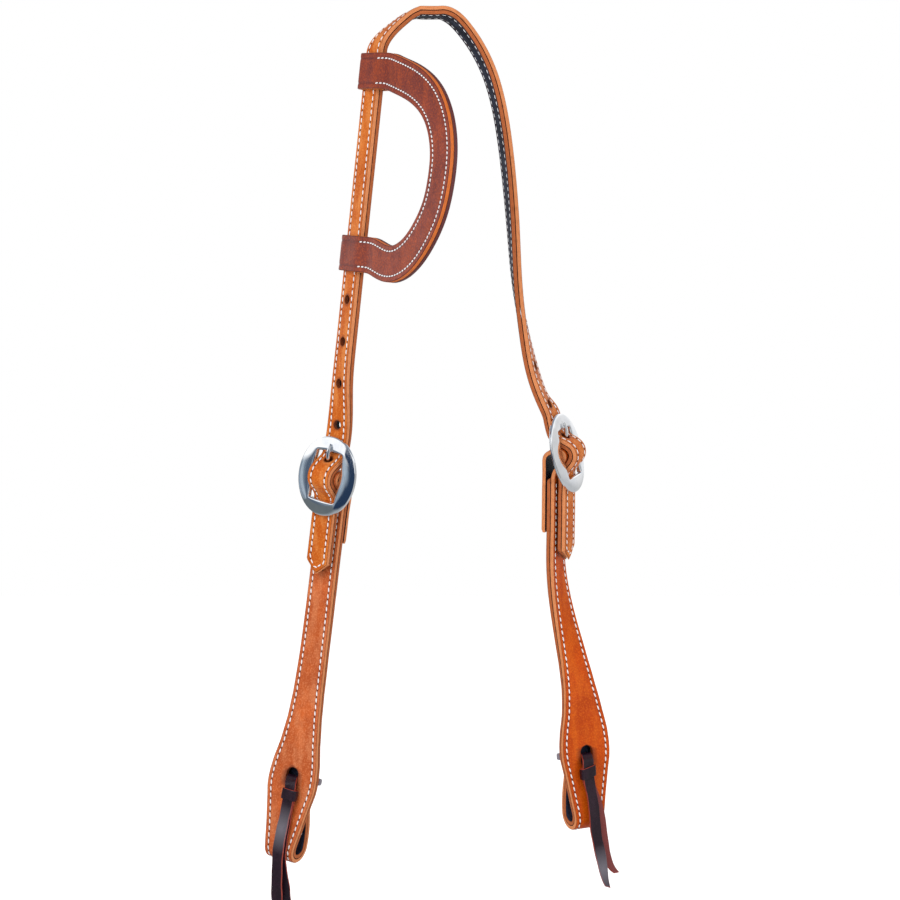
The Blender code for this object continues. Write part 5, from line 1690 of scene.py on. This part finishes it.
def group_cards():
    """What the steel mirrors by direction: streaked and dark on the left, pale on the right."""
    tree, start, end = new_group(
        "mirrored cards", "ShaderNodeTree",
        (("Vector", "NodeSocketVector", None), ("Front", "NodeSocketColor", None),
         ("Left", "NodeSocketColor", None)),
        (("Color", "NodeSocketColor"),))
    wires = Wires(tree)
    spread, times = wires.spread, wires.times
    out = wires.node("ShaderNodeVectorMath", {0: start.outputs["Vector"], 1: MIDDLE},
                     operation="SUBTRACT")
    way = wires.scaled(out.outputs[0], 1.0 / CARD_RADIUS)
    axes = wires.node("ShaderNodeSeparateXYZ", {0: way})
    right, back, up = axes.outputs["X"], axes.outputs["Y"], axes.outputs["Z"]
    streaks = spread(wires.noise(wires.mapped(way, (1.0, 1.0, 0.15)), 14.0, 3.0, 0.6), 0.44, 0.56)
    blotch = spread(wires.noise(way, 9.0, 4.0, 0.65), 0.38, 0.62)
    front, dusk = start.outputs["Front"], solid(ink(70, 84, 104))
    white, zenith = (1.12, 1.13, 1.14, 1.0), solid(ink(146, 154, 166))
    blotched = wires.blend(blotch, solid(ink(196, 208, 218)), solid(ink(120, 140, 160)))
    low = wires.maths("ADD", times(back, 1.2), up)
    low = wires.maths("ADD", low, times(blotch, 0.12))
    high = wires.maths("SUBTRACT", up, times(back, 0.12))
    left = wires.layered(
        start.outputs["Left"],
        (times(streaks, 0.6), dusk),
        (times(times(spread(back, 0.04, -0.03), spread(back, -0.3, -0.22)), 0.85), dusk),
        (spread(back, -0.26, -0.36), blotched),
        (spread(low, -0.52, -0.72), front),
        (times(spread(up, -0.13, -0.2), spread(back, -0.36, -0.26)), solid(ink(104, 112, 116))),
        (spread(up, -0.42, -0.6), solid(ink(160, 166, 170))),
        (spread(high, 0.09, 0.14), white),
        (times(spread(back, -0.52, -0.6), spread(right, -0.2, -0.34)), front),
        (times(spread(back, 0.5, 0.7), spread(up, 0.3, 0.2)), solid(ink(44, 52, 62))))
    band = times(spread(right, 0.5, 0.62), spread(right, 0.84, 0.76))
    pale = wires.layered(
        solid(ink(216, 216, 216)),
        (spread(back, 0.3, 0.72), solid(ink(244, 245, 246))),
        (spread(up, 0.04, -0.1), solid(ink(198, 199, 199))),
        (times(band, spread(back, -0.3, -0.45)), solid(ink(96, 104, 104))),
        (spread(up, 0.36, 0.5), white))
    colour = wires.layered(left, (spread(right, -0.12, 0.02), pale),
                           (spread(up, 0.55, 0.75), zenith))
    wires.feed(end.inputs["Color"], colour)
    return tree


class HEADSTALL_OT_stage(bpy.types.Operator):
    """Sets the camera, the pale floor, the soft studio light and what the steel mirrors"""
    bl_idname = "headstall.stage"
    bl_label = "Stage"

    def execute(self, context):
        settings = context.scene.headstall_stage
        scene = context.scene
        scene.view_settings.view_transform = "Standard"
        data = bpy.data.cameras.new("photo camera")
        data.sensor_width = SENSOR_WIDTH
        data.angle = 2 * math.atan(VIEW_WIDTH / 2 / VIEW_DISTANCE)
        camera = bpy.data.objects.new("photo camera", data)
        camera.location = (VIEW_CENTRE[0], -VIEW_DISTANCE, VIEW_CENTRE[2])
        camera.rotation_euler = (math.pi / 2, 0.0, 0.0)
        scene.collection.objects.link(camera)
        scene.camera = camera

        world = bpy.data.worlds.new("white studio")
        world.use_nodes = True
        scene.world = world
        wires = Wires(world.node_tree)
        background = world.node_tree.nodes["Background"]
        background.inputs["Color"].default_value = (1.0, 1.0, 1.0, 1.0)
        seen = white_to_the_eye(wires)
        wires.feed(background.inputs["Strength"], wires.spread(seen, 0.0, 1.0, settings.sky, 1.0))

        shape = bmesh.new()
        bmesh.ops.create_grid(shape, x_segments=1, y_segments=1, size=FLOOR_SIZE)
        material, wires, shader, place = new_material("pale floor")
        shade = wires.noise(place, 3.0, 2.0, 0.5)
        wires.feed(shader.inputs["Base Color"],
                   wires.blend(shade, solid(ink(247, 247, 247)), solid(ink(252, 252, 252))))
        shader.inputs["Roughness"].default_value = 0.9
        seen = white_to_the_eye(wires)
        shader.inputs["Emission Color"].default_value = (1.0, 1.0, 1.0, 1.0)
        wires.feed(shader.inputs["Emission Strength"], wires.times(seen, FLOOR_GLOW))
        floor = add_object("studio_floor", end_mesh(shape, "studio_floor"), material)
        floor.location = (0.0, 0.0, -FLOOR_DROP)

        area_lamp("key", KEY_PLACE, KEY_SIZE, settings.key)
        area_lamp("fill", FILL_PLACE, FILL_SIZE, settings.fill)

        shape = bmesh.new()
        bmesh.ops.create_uvsphere(shape, u_segments=CARD_SEGMENTS, v_segments=CARD_RINGS,
                                  radius=CARD_RADIUS)
        bmesh.ops.translate(shape, verts=shape.verts, vec=MIDDLE)
        material, wires, shader, place = new_material("mirrored cards")
        shader.inputs["Base Color"].default_value = (0.0, 0.0, 0.0, 1.0)
        shader.inputs["Specular IOR Level"].default_value = 0.0
        cards = use_group(wires, group_cards(), {
            "Vector": place, "Front": solid(settings.card), "Left": solid(settings.left_card)})
        wires.feed(shader.inputs["Emission Color"], cards.outputs["Color"])
        shader.inputs["Emission Strength"].default_value = 1.0
        card = add_object("mirrored_cards", end_mesh(shape, "mirrored_cards"), material)
        card.visible_camera = False
        card.visible_diffuse = False
        card.visible_shadow = False
        card.visible_transmission = False
        return {"FINISHED"}


OPERATORS = (HEADSTALL_OT_stage, HEADSTALL_OT_materials, HEADSTALL_OT_ties, HEADSTALL_OT_crown,
             HEADSTALL_OT_buckles, HEADSTALL_OT_cheeks, HEADSTALL_OT_ear_piece)
SETTINGS = {
    "headstall_leather": LeatherSettings,
    "headstall_thread": ThreadSettings,
    "headstall_buckle": BuckleSettings,
    "headstall_stage": StageSettings,
}


class HEADSTALL_PT_panel(bpy.types.Panel):
    """Lists the headstall's settings and the steps that make it"""
    bl_idname = "HEADSTALL_PT_panel"
    bl_label = "Headstall"
    bl_space_type = "VIEW_3D"
    bl_region_type = "UI"
    bl_category = "Headstall"

    def draw(self, context):
        for name in SETTINGS:
            box = self.layout.box()
            settings = getattr(context.scene, name)
            for key in settings.__annotations__:
                box.prop(settings, key)
        for operator in OPERATORS:
            self.layout.operator(operator.bl_idname)


def register():
    for kind in (*SETTINGS.values(), *OPERATORS, HEADSTALL_PT_panel):
        bpy.utils.register_class(kind)
    for name, kind in SETTINGS.items():
        setattr(bpy.types.Scene, name, PointerProperty(type=kind))


def unregister():
    for name in SETTINGS:
        delattr(bpy.types.Scene, name)
    for kind in reversed((*SETTINGS.values(), *OPERATORS, HEADSTALL_PT_panel)):
        bpy.utils.unregister_class(kind)


def main():
    register()
    for operator in OPERATORS:
        area, action = operator.bl_idname.split(".")
        getattr(getattr(bpy.ops, area), action)()


if __name__ == "__main__":
    main()
